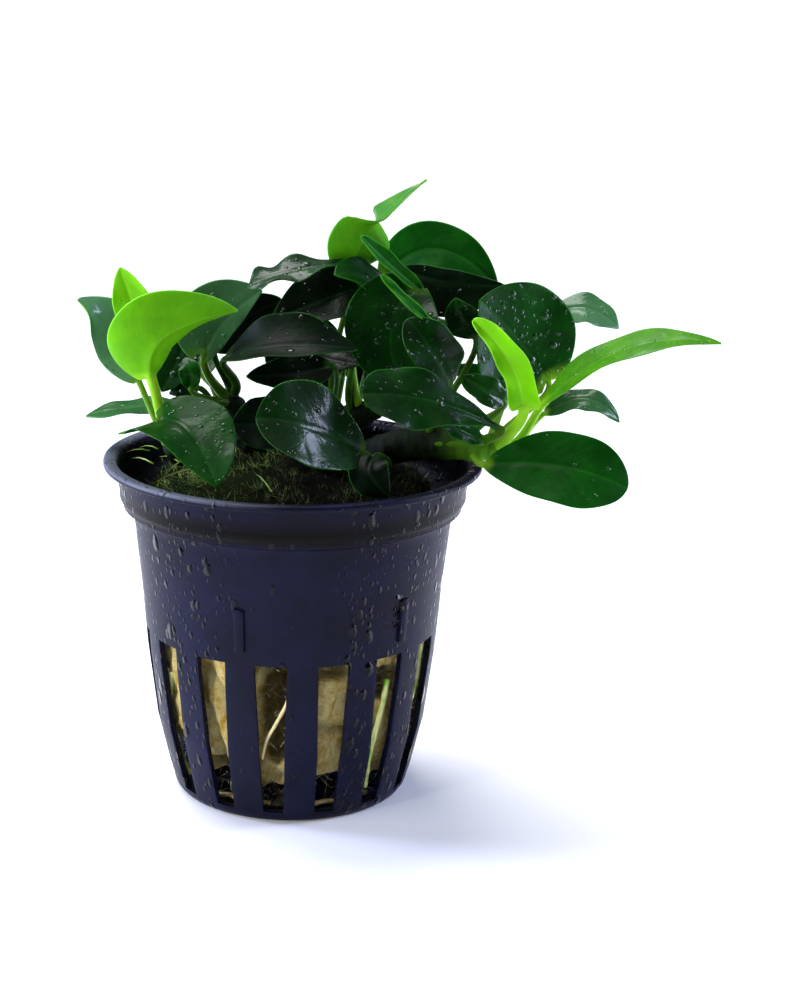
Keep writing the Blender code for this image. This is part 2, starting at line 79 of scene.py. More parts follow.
def lamp(name, kind, place, aim, glossy=True, **settings):
    """A studio light at a place in metres, turned to face a point; one that isn't glossy lights matt skins only."""
    data = bpy.data.lights.new(name, kind)
    for key, value in settings.items():
        setattr(data, key, value)
    made = stand(name, data)
    made.location = place
    made.rotation_euler = (Vector(aim) - Vector(place)).to_track_quat("-Z", "Y").to_euler()
    made.visible_glossy = glossy


# ---------------------------------------------------------------- nodes and colours


def linear(colour):
    """Linear RGBA of an sRGB hex colour."""
    values = [int(colour[i : i + 2], 16) / 255 for i in (1, 3, 5)]
    return [v / 12.92 if v <= 0.04045 else ((v + 0.055) / 1.055) ** 2.4 for v in values] + [1.0]


def plug(node, inputs):
    """Gives a node's inputs their values, hex colours or sockets of other nodes."""
    for key, value in inputs.items():
        if isinstance(value, bpy.types.NodeSocket):
            node.id_data.links.new(value, node.inputs[key])
        else:
            node.inputs[key].default_value = linear(value) if isinstance(value, str) else value


def add(tree, kind, inputs=None, **settings):
    """A node with its settings and its inputs."""
    node = tree.nodes.new("ShaderNode" + kind)
    for name, value in settings.items():
        setattr(node, name, value)
    plug(node, inputs or {})
    return node


def finish(name):
    """A new material: its node tree and its shader."""
    made = bpy.data.materials.new(name)
    made.use_nodes = True
    return made, made.node_tree, made.node_tree.nodes["Principled BSDF"]


# The steps that looks are made of: kind of node, its inputs in the order given, settings and output. A blend
# goes from its second colour to its third as its first value goes from 0 to 1; a scaled value goes from the
# first number to the second in the same way; a value between two numbers is 0 at the first, which may be the
# larger, and 1 or a fourth number at the second. Noise takes a place, patches per metre, detail and roughness.
STEPS = {
    "blend": ("Mix", (0, 6, 7), {"data_type": "RGBA"}, 2),
    "tint": ("Mix", (0, 6, 7), {"data_type": "RGBA", "blend_type": "MULTIPLY"}, 2),
    "scaled": ("MapRange", ("To Min", "To Max", "Value"), {}, 0),
    "between": ("MapRange", ("Value", "From Min", "From Max", "To Max"), {"interpolation_type": "SMOOTHSTEP"}, 0),
    "noise": ("TexNoise", ("Vector", "Scale", "Detail", "Roughness", "Distortion"), {}, 0),
}
SIGNS = {"add": "ADD", "sub": "SUBTRACT", "mul": "MULTIPLY", "truediv": "DIVIDE", "pow": "POWER"}
for operation in (*SIGNS.values(), "MAXIMUM", "MINIMUM", "ABSOLUTE", "FRACT", "LESS_THAN"):
    STEPS[operation] = ("Math", (0, 1), {"operation": operation}, 0)


def step(name, *values):
    """One of the steps above, fed with sockets and plain values; gives the socket of its result."""
    kind, keys, settings, output = STEPS[name]
    tree = next(value.id_data for value in values if isinstance(value, bpy.types.NodeSocket))
    return add(tree, kind, dict(zip(keys, values)), **settings).outputs[output]


# Sums of sockets read as sums: each sign is one step
for sign, operation in SIGNS.items():
    setattr(bpy.types.NodeSocket, f"__{sign}__", lambda a, b, name=operation: step(name, a, b))
    setattr(bpy.types.NodeSocket, f"__r{sign}__", lambda b, a, name=operation: step(name, a, b))


def beads(place, spacing, fill, seed):
    """Height from 0 to 1 of scattered round caps, 1 - (distance / radius)^2. A cell's own colour sets its
    radius, mostly small, and leaves the cell empty below a threshold."""
    cells = add(place.id_data, "TexVoronoi", {"Vector": place, "Scale": 1 / (spacing * MM), "Randomness": 1.0})
    hue = add(place.id_data, "SeparateColor", {0: cells.outputs["Color"]}).outputs
    reach = step("scaled", 0.12, 0.46, hue[seed] ** 2.0)
    share = cells.outputs["Distance"] / reach
    cap = step("MAXIMUM", 1.0 - share ** 2.0, 0.0)
    cap = cap ** 0.6 * step("scaled", 0.4, 1.0, hue[seed])
    return cap * step("LESS_THAN", hue[(seed + 1) % 3], fill)


# ---------------------------------------------------------------- materials


def leaf_skin(name, glow):
    """Anubias leaf: waxy, leathery and smooth enough above for broad soft highlights, paler and duller below,
    with sunken side veins about 1.5 mm apart, a thin pale margin, and fine beads of water left on it. Its
    tone runs from the near-black green of old leaves to the lime of new ones. Grey-green patches of
    painted sheen on the upper side stand in for light reflected by the wet surface."""
    made, tree, shader = finish(name)
    place = add(tree, "TexCoord").outputs["Object"]
    keys = ("tone", "lower", "stem", "vein", "rib", "margin", "haze", "petiole", "dew", "film")
    tone, lower, stem, vein, rib, margin, haze, petiole, wet, gloss = (
        add(tree, "Attribute", attribute_name=key).outputs["Fac"] for key in keys)
    patches = step("noise", place, 1 / (4 * MM), 4.0, 0.6)
    cells = add(tree, "TexVoronoi", {"Vector": place, "Scale": 1 / (0.35 * MM)})
    mottle = step("between", patches, 0.3, 0.7)
    tone = tone + step("scaled", -0.05, 0.05, mottle) + lower * 0.06
    old = step("MINIMUM", tone * 2.0, 1.0) ** 2.0
    new = step("MAXIMUM", tone * 2.0 - 1.0, 0.0)
    colour = step("blend", new, step("blend", old, "#020b03", "#0d560b"), "#6ebc0c")
    line = step("ABSOLUTE", step("FRACT", vein) - 0.5)
    line = step("between", line, 0.08, 0.0) * step("between", rib, 0.3, 1.0) * step("between", margin, 0.3, 1.2)
    pale = step("blend", new, step("blend", old, "#123612", "#338024"), "#94cc3c")
    keel = step("between", rib, 0.3, 0.06)
    pale_share = step("MAXIMUM", line * 0.13, keel * 0.28)
    colour = step("blend", pale_share, colour, pale)
    rim = step("between", margin, 0.18, 0.04) * step("scaled", 0.25, 0.6, old)
    colour = step("blend", rim, colour, step("blend", new, "#2c7818", "#9cd648"))
    # painted sheen: noisy grey-green patches on the upper side, scaled by the leaf's haze value, stand in for light
    # reflected by the wet surface
    painted_sheen_patches = step("noise", place, 1 / (5 * MM), 3.0)
    painted_sheen_patches = step("scaled", 0.4, 1.4, painted_sheen_patches) * haze
    colour = step("blend", painted_sheen_patches * (1.0 - lower), colour, "#5f8f66")
    stalk = step("blend", step("scaled", 0.0, 0.25, mottle), step("blend", petiole, "#082606", "#90cc28"), "#4f9a1c")
    colour = step("blend", stem, colour, stalk)
    dew = wet * (1.0 - lower)
    drops = step("MAXIMUM", beads(place, 1.5, dew * 0.4, 0), beads(place, 0.8, dew * 0.5, 1) * 0.5)
    fine = cells.outputs["Distance"] * 0.05
    height = line * -0.025 + fine + patches * 0.9 + drops * 1.6
    bump = add(tree, "Bump", {"Height": height, "Distance": 0.22 * MM, "Strength": 0.8}).outputs[0]
    sheen = step("scaled", 0.36, 0.5, patches) + lower * 0.16 - drops * 0.12
    film = step("between", step("noise", place, 1 / (7 * MM), 3.0, 0.5, 0.6), 0.42, 0.52) * (1.0 - lower) * gloss
    film = step("MAXIMUM", film, step("between", drops, 0.0, 0.2))
    plug(shader, {"Base Color": colour, "Normal": bump, "Roughness": sheen,
                  "Specular IOR Level": 0.06, "Coat Weight": film, "Coat Normal": bump,
                  "Coat Roughness": 0.14, "Coat IOR": 1.34, "Subsurface Weight": glow,
                  "Subsurface Radius": (0.25, 1.0, 0.06), "Subsurface Scale": 0.8 * MM})
    return made


def stem_skin(name):
    """Creeping stem: smooth bark with brown rings where old leaves stood; green towards its right end and painted
    near-black shade elsewhere, for the shade of the leaves above.
    """
    made, tree, shader = finish(name)
    place = add(tree, "TexCoord").outputs["Object"]
    ring = add(tree, "Attribute", attribute_name="ring").outputs["Fac"]
    patches = step("noise", place, 1 / (1.6 * MM), 5.0, 0.6)
    grain = step("noise", place, 1 / (0.25 * MM), 3.0)
    across = add(tree, "SeparateXYZ", {0: place}).outputs[0] / MM
    # painted shade: the bark is near-black up to x = 20 mm and turns green by x = 28 mm; the dark colour, named old
    # here, stands in for the shade under the leaves, not for age
    old = step("blend", step("between", patches, 0.35, 0.65), "#050b02", "#12200a")
    colour = step("blend", step("between", across, 20.0, 28.0), old, "#568f1c")
    colour = step("blend", ring * 0.5, colour, "#14200a")
    height = grain + patches * 1.5
    bump = add(tree, "Bump", {"Height": height, "Distance": 0.2 * MM, "Strength": 0.7}).outputs[0]
    plug(shader, {"Base Color": colour, "Normal": bump, "Roughness": 0.6, "Specular IOR Level": 0.12})
    return made


def root_skin(name, green, pale):
    """Living root: pale waxy cord, greener where light reaches it, with fine soft bands."""
    made, tree, shader = finish(name)
    place = add(tree, "TexCoord").outputs["Object"]
    patches = step("noise", place, 1 / (3 * MM), 3.0)
    grain = step("noise", place, 1 / (0.3 * MM), 2.0)
    colour = step("blend", step("between", patches, 0.38, 0.62), green, pale)
    bump = add(tree, "Bump", {"Height": grain, "Distance": 0.08 * MM, "Strength": 0.6}).outputs[0]
    plug(shader, {"Base Color": colour, "Normal": bump, "Roughness": 0.45, "Subsurface Weight": 0.2,
                  "Subsurface Scale": 0.4 * MM})
    return made


def pot_plastic(name):
    """Moulded polypropylene, dark navy and satin from the mould, and wet: beads stand close together on two
    sides of the pot, darker and glossier than the dull film between them."""
    made, tree, shader = finish(name)
    place = add(tree, "TexCoord").outputs["Object"]
    patches = step("noise", place, 1 / (9 * MM), 5.0, 0.65)
    mould = step("noise", place, 1 / (0.22 * MM), 2.0)
    warp = add(tree, "TexNoise", {"Vector": place, "Scale": 1 / (1.1 * MM), "Detail": 1.0})
    bent = add(tree, "VectorMath", {0: warp.outputs["Color"], 1: (0.5 * MM,) * 3, 2: place},
               operation="MULTIPLY_ADD").outputs[0]
    bent = add(tree, "Mapping", {"Vector": bent, "Scale": (1.0, 1.0, 0.6)}).outputs[0]
    parts = add(tree, "SeparateXYZ", {0: place}).outputs
    flat = add(tree, "VectorMath", {0: place, 1: (1.0, 1.0, 0.0)}, operation="MULTIPLY").outputs[0]
    height = parts[2] / MM
    gathered = step("ABSOLUTE", parts[0]) / MM + step("scaled", -6.0, 6.0, patches)
    gathered = step("between", gathered, 6.0, 11.0)
    drops = step("MAXIMUM", beads(bent, 2.0, 0.6, 0), beads(bent, 1.2, 0.7, 1) * 0.7)
    drops = step("MAXIMUM", drops, beads(bent, 0.7, 0.7, 2) * 0.4)
    specks = beads(bent, 1.4, 0.12, 2) * 0.3
    drops = step("MAXIMUM", drops * gathered, specks)
    colour = step("blend", step("between", patches, 0.3, 0.7), "#090b1a", "#0f1129")
    colour = step("blend", step("between", drops, 0.0, 0.3), colour, "#04050e")
    reach = add(tree, "VectorMath", {0: flat}, operation="LENGTH").outputs["Value"] / MM
    # painted shade: the inner wall inside the mouth, from 43 mm up, is painted near-black for the shade inside the
    # pot
    inner = step("between", reach, 25.5, 25.2) * step("between", height, 43.0, 44.0)
    colour = step("blend", inner, colour, "#010102")
    # painted highlight: the top of the rim is paler on its left, from x = 2 mm to -18 mm and beyond, where the light
    # catches the wet rim
    rim = step("between", height, 49.4, 49.8) * step("between", parts[0], 0.002, -0.018)
    colour = step("blend", rim * step("scaled", 0.4, 1.0, patches), colour, "#6a7080")
    relief = mould * 0.03 + drops
    bump = add(tree, "Bump", {"Height": relief, "Distance": 0.7 * MM, "Strength": 1.0}).outputs[0]
    film = step("scaled", 0.34, 0.46, patches)
    plug(shader, {"Base Color": colour, "Normal": bump,
                  "Roughness": film - step("between", drops, 0.0, 0.4, 0.25), "Specular IOR Level": 0.09,
                  "Coat Weight": step("between", drops, 0.0, 0.2, 0.2), "Coat Normal": bump,
                  "Coat Roughness": 0.05, "Coat IOR": 1.36})
    return made


def wool_mat(name):
    """Stone wool: matted glassy fibres, straw to brown, matt, with painted shade darkening the creases and torn
    hollows between the tufts.
    """
    made, tree, shader = finish(name)
    place = add(tree, "TexCoord").outputs["Object"]
    pit, moss = (add(tree, "Attribute", attribute_name=key).outputs["Fac"] for key in ("pit", "moss"))
    stretched = add(tree, "Mapping", {"Vector": place, "Scale": (1.0, 1.0, 0.7)}).outputs[0]
    tufts = step("noise", stretched, 1 / (2.2 * MM), 6.0, 0.7, 0.6)
    fibres = step("noise", stretched, 1 / (0.22 * MM), 4.0, 0.7, 1.5)
    colour = step("blend", step("between", tufts, 0.34, 0.6), "#d0ac48", "#fff0a8")
    colour = step("tint", step("between", fibres, 0.62, 0.34, 0.5), colour, "#c4a862")
    # painted shade: creases, dips and torn hollows are darkened towards near-black brown for the shade that falls in
    # them
    colour = step("blend", pit * 0.95, colour, "#0c0803")
    across = add(tree, "SeparateXYZ", {0: place}).outputs[0]
    # painted light: the moss on the wool is greener and paler to the left, from x = 2 mm to -14 mm, and near-black to
    # the right, where the leaves shade it
    painted_light = step("between", across / MM, 2.0, -14.0)
    growth = step("blend", step("between", tufts, 0.4, 0.62), "#030201", "#171204")
    growth = step("blend", painted_light * 0.7, growth, "#2c3c12")
    colour = step("blend", moss, colour, growth)
    height = fibres + tufts * 1.4
    bump = add(tree, "Bump", {"Height": height, "Distance": 0.8 * MM, "Strength": 1.0}).outputs[0]
    plug(shader, {"Base Color": colour, "Normal": bump, "Roughness": 0.9, "Specular IOR Level": 0.08})
    return made


def strand_mat(name, dark, light, roughness):
    """Moss threads and loose mineral fibres: each strand takes its shade between two, a random tone of its own and,
    for the moss threads, painted light as well.
    """
    made, tree, shader = finish(name)
    shade = add(tree, "Attribute", attribute_name="shade").outputs["Fac"]
    colour = step("blend", shade, dark, light)
    plug(shader, {"Base Color": colour, "Roughness": roughness, "Specular IOR Level": 0.2})
    return made


# ---------------------------------------------------------------- numbers and meshes


def unit(v):
    """Vectors at length 1."""
    v = np.asarray(v, float)
    return v / np.linalg.norm(v, axis=-1, keepdims=True)


def square_to(normal, run):
    """The part of normal that is square to run, at length 1."""
    return unit(normal - (normal * run).sum(-1, keepdims=True) * run)


def lattice(i, j, k, seed):
    """A steady pseudo-random number from 0 to 1 for each lattice point: the fraction of a large sine."""
    v = np.sin(i * 127.1 + j * 311.7 + k * 74.7 + seed * 53.3) * 43758.5453
    return v - np.floor(v)


def lumps(points, size, seed=0):
    """Smooth noise from -1 to 1: lattice numbers blended along x, y and z with an S-shaped share."""
    q = np.asarray(points, float) / size
    low = np.floor(q)
    f = q - low
    f = f * f * (3 - 2 * f)
    total = 0.0
    for dx in (0, 1):
        for dy in (0, 1):
            for dz in (0, 1):
                share = np.where(dx, f[..., 0], 1 - f[..., 0]) * np.where(dy, f[..., 1], 1 - f[..., 1])
                share = share * np.where(dz, f[..., 2], 1 - f[..., 2])
                total = total + share * lattice(low[..., 0] + dx, low[..., 1] + dy, low[..., 2] + dz, seed)
    return 2 * total - 1


def piece(name, points, faces, material, slot, *nodes, **attributes):
    """A smooth mesh object from points in millimetres and quads, riding on the part."""
    mesh = bpy.data.meshes.new(name)
    mesh.from_pydata((np.asarray(points).reshape(-1, 3) * MM).tolist(), [], faces)
    for key, values in attributes.items():
        layer = mesh.attributes.new(key, "FLOAT", "POINT")
        layer.data.foreach_set("value", np.asarray(values, np.float32).ravel())
    mesh.shade_smooth()
    mesh.materials.append(material)
    made = stand(name, mesh)
    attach(made, "root")
    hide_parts(*nodes)
    return made


def ring_faces(rows, count, start=0):
    """Quads between rows of closed rings of count points, then the two end caps."""
    r, c = np.meshgrid(np.arange(rows - 1), np.arange(count), indexing="ij")
    n = (c + 1) % count
    quads = np.stack([r * count + c, r * count + n, (r + 1) * count + n, (r + 1) * count + c], -1) + start
    caps = [list(range(start + count - 1, start - 1, -1))]
    caps += [list(range(start + (rows - 1) * count, start + rows * count))]
    return quads.reshape(-1, 4).tolist() + caps


def smooth_route(points, steps):
    """Catmull-Rom curve through points, with steps stations between each two."""
    p = np.asarray(points, float)
    p = np.vstack([2 * p[0] - p[1], p, 2 * p[-1] - p[-2]])
    t = (np.arange(steps) / steps)[:, None]
    made = []
    for a, b, c, d in zip(p, p[1:], p[2:], p[3:]):
        bend = (2 * a - 5 * b + 4 * c - d) * t**2 + (3 * b - a - 3 * c + d) * t**3
        made.append(0.5 * (2 * b + (c - a) * t + bend))
    return np.vstack(made + [p[-2:-1]])


def runs_of(route):
    """Which way a route goes at each station."""
    return unit(np.gradient(route, axis=0))


def carried(run, first):
    """A normal for each station, handed along the route so that it never twists."""
    normals = [square_to(first, run[0])]
    for r in run[1:]:
        normals.append(square_to(normals[-1], r))
    return np.array(normals)


def tube_rings(route, radius, count):
    """Round rings square to the route: centre + radius (side cos a + normal sin a)."""
    run = runs_of(route)
    normal = carried(run, np.array([0.31, 0.17, 0.94]))
    side = np.cross(run, normal)
    a = (np.arange(count) / count * TAU)[None, :, None]
    radius = np.asarray(radius, float).reshape(len(route), -1, 1)
    return route[:, None] + radius * (side[:, None] * np.cos(a) + normal[:, None] * np.sin(a))


# ---------------------------------------------------------------- the plant

FRONT, LEFT, MIDDLE = "rhizome_front", "rhizome_left", "rhizome_middle"
BACK, RIGHT = "rhizome_back", "rhizome_right"
RHIZOMES = {
    FRONT: (((-15, 2, 48.9), (-16.5, -1, 50.4), (-17.5, -3.5, 52.0)), (1.7, 1.8, 1.3)),
    LEFT: (((-5, 6, 49.4), (-7.5, 8, 51.5), (-9.5, 9, 54.0), (-10, 9, 57.0)), (2.2, 2.6, 2.4, 1.6)),
    MIDDLE: (((2, 0, 49.0), (6, -4, 50.0), (12, -7.5, 50.6)), (1.8, 2.0, 1.4)),
    BACK: (((-1, 10, 49.0), (4, 10.5, 51.0), (9, 9.5, 54.0), (14, 8, 57.0)), (1.9, 2.2, 2.1, 1.5)),
    RIGHT: (
        ((9, 3, 49.4), (14, 1, 51.4), (20, -2, 52.9), (25, -4, 53.2), (30, -4.5, 52.8)),
        (1.9, 2.3, 2.4, 2.1, 1.4),
    ),
}

BLADE_ROWS, STALK_ROWS, ACROSS = 46, 16, 36
LEAF_THICKNESS = 0.42


def leaf(name, rhizome, share, direction, base, mid, tip, face, width, **options):
    """One leaf: where its stalk leaves the rhizome and which way, three points of the midrib, the way the
    upper side looks, and the half-widths left and right of the midrib. Options: cup and lobe for the same two
    sides, full for the share of the length at the broadest place, blunt for the shape of the ends, stalk for its
    radius, wave for the edge, and twist for the way the tip half looks. For the skin: tone from old to new,
    petiole for the stalk's tone, film for the wet coat, dew for beads of water and haze for a grey-green
    painted sheen that stands in for light reflected by the wet upper side."""
    made = {
        "name": name, "perch": (rhizome, share, direction), "midrib": (base, mid, tip), "face": face,
        "width": width, "cup": (15, 15), "lobe": 1.0, "full": 0.42, "blunt": 1.3,
        "tone": 0.2, "stalk": 0.5, "wave": 0.25, "film": 0.3, "dew": 0.5, "haze": 0.0, "twist": None,
        "petiole": options.get("tone", 0.2) ** 1.5,
    }
    made.update(options)
    if not isinstance(made["lobe"], tuple):
        made["lobe"] = (made["lobe"],) * 2
    return made


LEAVES = (
    leaf("lime_hood", FRONT, 1.0, (-0.3, -0.3, 1), (-20, -6, 63), (-17.5, -9, 69.25), (-8, -4, 72), (0, 0.9, 0.4),
         (2.6, 6.9), cup=(30, 30), lobe=(0.6, 2.4), full=0.37, tone=0.76, petiole=0.95, stalk=0.8, film=0, dew=0),
    leaf("lime_spear", FRONT, 0.8, (-0.4, 0.7, 1), (-22, 1, 64.75), (-23.25, 1, 71), (-25, 0, 77),
         (-0.2, -0.9, 0.4), (2.9, 4.0), cup=(20, 50), lobe=0.6, full=0.45, tone=1.1, stalk=0.6, film=0.1, dew=0.1),
    leaf("grey_left", FRONT, 0.5, (-1, 0.3, 0.8), (-23, 2, 60.75), (-26.75, 3, 66.5), (-31, 0, 72.25),
         (-0.3, -0.5, 0.8), (3.6, 5.5), cup=(15, 20), tone=0.55, film=1, dew=1, haze=0.95),
    leaf("dark_hanging", LEFT, 0.6, (-1, 1, 0), (-16.5, 9, 65.5), (-17.75, 7, 62), (-19.75, 5, 58),
         (-0.2, -0.9, 0.3), (3.2, 3.2), lobe=0.8, dew=1),
    leaf("edge_left", FRONT, 0.0, (0.2, 1, 0.3), (-16.25, 6, 55.75), (-23.5, 5, 55.5), (-30.75, 4, 54.25),
         (0, -0.1, 1), (3.6, 3.6), cup=(10, 10), full=0.5, tone=0.42, film=0.7, dew=0.6, haze=0.15),
    leaf("front_left", FRONT, 0.7, (0.8, -0.6, 0.1), (-18.5, -9, 57), (-13.75, -13, 56.25), (-9.5, -20, 50.5),
         (0.3, -0.6, 0.75), (6.6, 5.6), cup=(20, 8), lobe=(1.2, 7.2), tone=0.34, dew=1),
    leaf("grey_back_left", LEFT, 0.8, (-0.8, 0.1, 1), (-13.25, 4, 64.5), (-10.5, 6, 68.75), (-5.25, 7, 73),
         (0.2, -0.7, 0.6), (6.6, 2.4), lobe=2.2, tone=0.36, stalk=0.65, film=1, dew=0.7, haze=0.35),
    leaf("little_heart", LEFT, 0.8, (-0.8, -1, 0.6), (-15, 0, 60), (-15, -1, 62.25), (-15.75, 1, 64),
         (0, -0.9, 0.4), (1.6, 1.6), lobe=0.9, full=0.5, tone=0.35),
    leaf("little_dark", LEFT, 0.62, (-1, 0, 0), (-14.75, 6, 58.5), (-16.5, 6, 58.25), (-18.75, 6, 57.5),
         (0, -0.8, 0.6), (1.6, 1.6), lobe=0.4, full=0.4, tone=0.1),
    leaf("long_oval", LEFT, 0.95, (0.7, -0.7, 1), (-9.5, -2, 64.75), (-1, -6, 67.5), (9, -4, 66.75),
         (0, -0.5, 0.86), (6.0, 3.4), cup=(30, 30), lobe=1.2, full=0.45, tone=0.08, stalk=0.6, film=0, dew=0.3),
    leaf("upper_dark", BACK, 0.65, (-0.6, -0.5, 1), (9.25, 4.5, 74.25), (3.75, 2.75, 72.5), (-3.25, 0.5, 70),
         (-0.1, -0.6, 0.75), (5.0, 5.4), lobe=1.2, tone=0.1, film=0.1, dew=0.4),
    leaf("upper_gloss", BACK, 0.8, (-0.4, -1, 1), (12.5, 7.5, 72.5), (9.25, 4.75, 75.5), (5.5, 1.5, 76.5),
         (0, -0.6, 0.8), (3.6, 4.0), cup=(20, 20), lobe=0.8, full=0.4, tone=0.3, film=0.5),
    leaf("top_left_flat", BACK, 0.5, (-0.6, -0.2, 1), (7, 7, 77.5), (-1.75, 3, 76.25), (-7, 2, 74.25),
         (-0.1, -0.4, 0.9), (3.0, 3.2), cup=(25, 10), full=0.5, film=0.5, dew=1, wave=0.8, haze=0.1),
    leaf("black_under", LEFT, 0.95, (-0.2, 1, 1), (-12, 8, 64.5), (-8, 10, 68.25), (-2.5, 11, 71), (0.3, 0.8, 0.5),
         (4.2, 3.6), cup=(20, 20), full=0.45, tone=0),
    leaf("centre_broad", BACK, 0.95, (0.9, -0.6, 0.8), (16.5, 2.5, 74.25), (13.75, -1, 69.25), (15.25, -2.5, 61),
         (-0.1, -0.85, 0.5), (6.8, 6.8), lobe=2.2, full=0.45, tone=0.22, film=0.2, dew=0.9),
    leaf("centre_gloss", RIGHT, 0.5, (-0.3, -0.3, 1), (22.25, -4, 62.25), (19.75, -7, 67.25), (16, -5, 71.5),
         (0.1, -0.8, 0.6), (3.8, 3.9), cup=(15, 35), lobe=0.8, full=0.45, film=0.35, dew=0.8, blunt=1, wave=0.4),
    leaf("centre_right", RIGHT, 0.85, (0, -1, 0.9), (29.25, -9, 57), (20.25, -12, 61.25), (10, -15, 62.75),
         (0, -0.7, 0.7), (5.2, 4.8), cup=(8, 8), lobe=0.3, full=0.72, tone=0.24, film=0.2, dew=0.6, wave=0.7,
         blunt=1.9, stalk=0.75),
    leaf("front_gloss", MIDDLE, 1.0, (0.3, -1, 0.3), (10.25, -14.25, 54.5), (3, -20.25, 59.25), (-4, -22.25, 60.75),
         (-0.1, -0.75, 0.65), (6.3, 6.8), full=0.5, film=0.7, dew=0.7),
    leaf("front_behind", MIDDLE, 0.1, (-0.8, -0.6, 0.5), (0, -8, 57.25), (-4.25, -9, 56.75), (-8.25, -10, 57),
         (0, -0.8, 0.6), (4.2, 4.2), full=0.45, tone=0.08),
    leaf("centre_small", MIDDLE, 0.4, (-0.2, 0.4, 1), (4.75, -1, 63.75), (-0.5, -4, 63), (-6.5, -6, 63),
         (0, -0.7, 0.7), (3.2, 3.0), cup=(20, 20), lobe=0.8, tone=0.05, film=0.1),
    leaf("centre_strip", BACK, 0.3, (-0.4, -0.8, 1), (0.5, 5, 64.5), (5, 3, 63.75), (9, 1, 63.5), (0, -0.5, 0.85),
         (3.4, 3.0), cup=(10, 10), lobe=0.8, tone=0.03, film=0.1),
    leaf("top_lime", BACK, 0.7, (-0.3, -0.3, 1), (7.5, 10, 75.5), (10.5, 6, 82.75), (18.25, 8, 89.5),
         (-0.3, 0.95, 0.15), (4.6, 4.6), cup=(10, 30), lobe=1.6, full=0.36, blunt=2.2, tone=0.62, film=0.5, dew=0.6,
         twist=(-0.3, -0.35, 0.9), haze=0.15),
    leaf("top_right_back", BACK, 0.92, (0.1, 1, 1), (13, 14.5, 74.75), (20.5, 12.5, 78.75), (29.25, 10.5, 73.5),
         (0.1, -0.8, 0.5), (4.4, 6.2), lobe=1.6, tone=0.42, film=0, dew=0),
    leaf("top_right_dark", BACK, 0.8, (-0.3, 0.3, 1), (15.5, 10.5, 76), (22, 7.5, 74.75), (30, 4.5, 75),
         (0, -0.9, 0.3), (2.0, 5.4), lobe=0.8, full=0.45, tone=0.1, film=0.1, dew=0.3),
    leaf("rolled_new", BACK, 1.0, (1, 0.1, 0.8), (18.25, 4.25, 73.75), (13.25, 1.25, 78.25), (9.25, -1.75, 82.5),
         (0, -0.8, 0.6), (1.5, 1.5), cup=(70, 70), lobe=0, full=0.5, tone=0.5, film=0, dew=0.1, blunt=0.9),
    leaf("rolled_narrow", RIGHT, 0.45, (-0.2, 0.6, 1), (21, -2.25, 69.25), (16.25, -5.75, 73.75),
         (12.25, -6.75, 78), (0, -0.8, 0.6), (0.85, 0.85), cup=(70, 70), lobe=0, full=0.5, tone=0.52, film=0, dew=0,
         blunt=0.8),
    leaf("right_drops", RIGHT, 0.95, (0.3, 0.6, 1), (36.5, 4, 61.75), (31.5, 3, 68), (26.25, 0, 73.5),
         (0.1, -0.85, 0.5), (9.6, 9.0), lobe=1.6, tone=0.34, petiole=0.7, film=0.12, dew=1.7),
    leaf("right_behind", RIGHT, 0.9, (0.2, 1, 0.5), (38.5, 9.5, 70.5), (42.75, 8.75, 71), (47, 7.75, 68.5),
         (0.1, -0.5, 0.85), (3.2, 3.9), lobe=0.6, tone=0.45, petiole=0.5, film=0.7, dew=0.8, haze=0.45),
    leaf("long_right", RIGHT, 1.0, (1, -0.5, 0.4), (35.75, -4, 59.75), (46.5, -7, 68.25), (59.75, -8, 69.75),
         (0, -0.3, 0.95), (3.6, 3.3), cup=(20, 10), tone=0.66, petiole=0.85, stalk=0.7, dew=1),
    leaf("lime_roll", RIGHT, 0.97, (0.4, -0.6, 1), (32.5, -10, 60.5), (30, -11.5, 67.5), (25, -11, 72.75),
         (-0.3, -0.9, 0.2), (2.1, 3.2), cup=(60, 50), lobe=0.4, full=0.2, tone=1.0, petiole=0.95, stalk=0.85,
         film=0, dew=0, blunt=0.55, wave=0.8),
    leaf("right_low", RIGHT, 0.8, (0, -1, -0.5), (27.75, -9, 51.75), (37.75, -12, 52.5), (47.25, -13, 49.75),
         (0.1, -0.75, 0.65), (5.6, 6.2), cup=(10, 10), lobe=0.8, full=0.58, tone=0.38, petiole=0.5, stalk=0.6,
         film=0, dew=0.3),
    leaf("right_arch", RIGHT, 1.0, (1, 0.5, 0.2), (36.5, 2, 57), (42.25, 1, 59.25), (47, 0, 56.25), (0, -0.5, 0.9),
         (2.3, 2.6), cup=(10, 10), lobe=0.5, tone=0.38, petiole=0.8, film=0.8, dew=0.8, haze=0.25),
    leaf("right_olive", RIGHT, 0.7, (0.1, 0.9, 0.6), (30.25, 5, 58.25), (26.75, 4, 60.75), (23, 3, 63.25),
         (0, -0.8, 0.5), (2.6, 2.6), cup=(10, 10), lobe=0.6, tone=0.5, film=0.1, dew=0.3),
    leaf("right_grey", RIGHT, 0.75, (0.2, -0.3, 1), (30, -2.5, 59.5), (27.5, -3.5, 61.25), (24, -3.5, 63.25),
         (0, -0.8, 0.5), (2.2, 2.2), cup=(10, 10), lobe=0.4, tone=0.3, film=0.8, dew=0.6),
    leaf("rim_dark", MIDDLE, 1.0, (1, -0.3, 0.1), (11.75, -15.5, 54), (11.5, -18.5, 52.25), (14, -19.5, 49.75),
         (-0.2, -0.9, 0.3), (3.0, 3.0), lobe=0.6, full=0.45, tone=0, film=0, dew=0.1),
    leaf("under_centre", RIGHT, 0.5, (0, -1, 0.3), (26.75, -7, 54.75), (23.75, -8, 56.5), (20.75, -8.5, 57.75),
         (0, -0.7, 0.7), (1.8, 1.8), cup=(10, 10), lobe=0.5, full=0.45, tone=0.3),
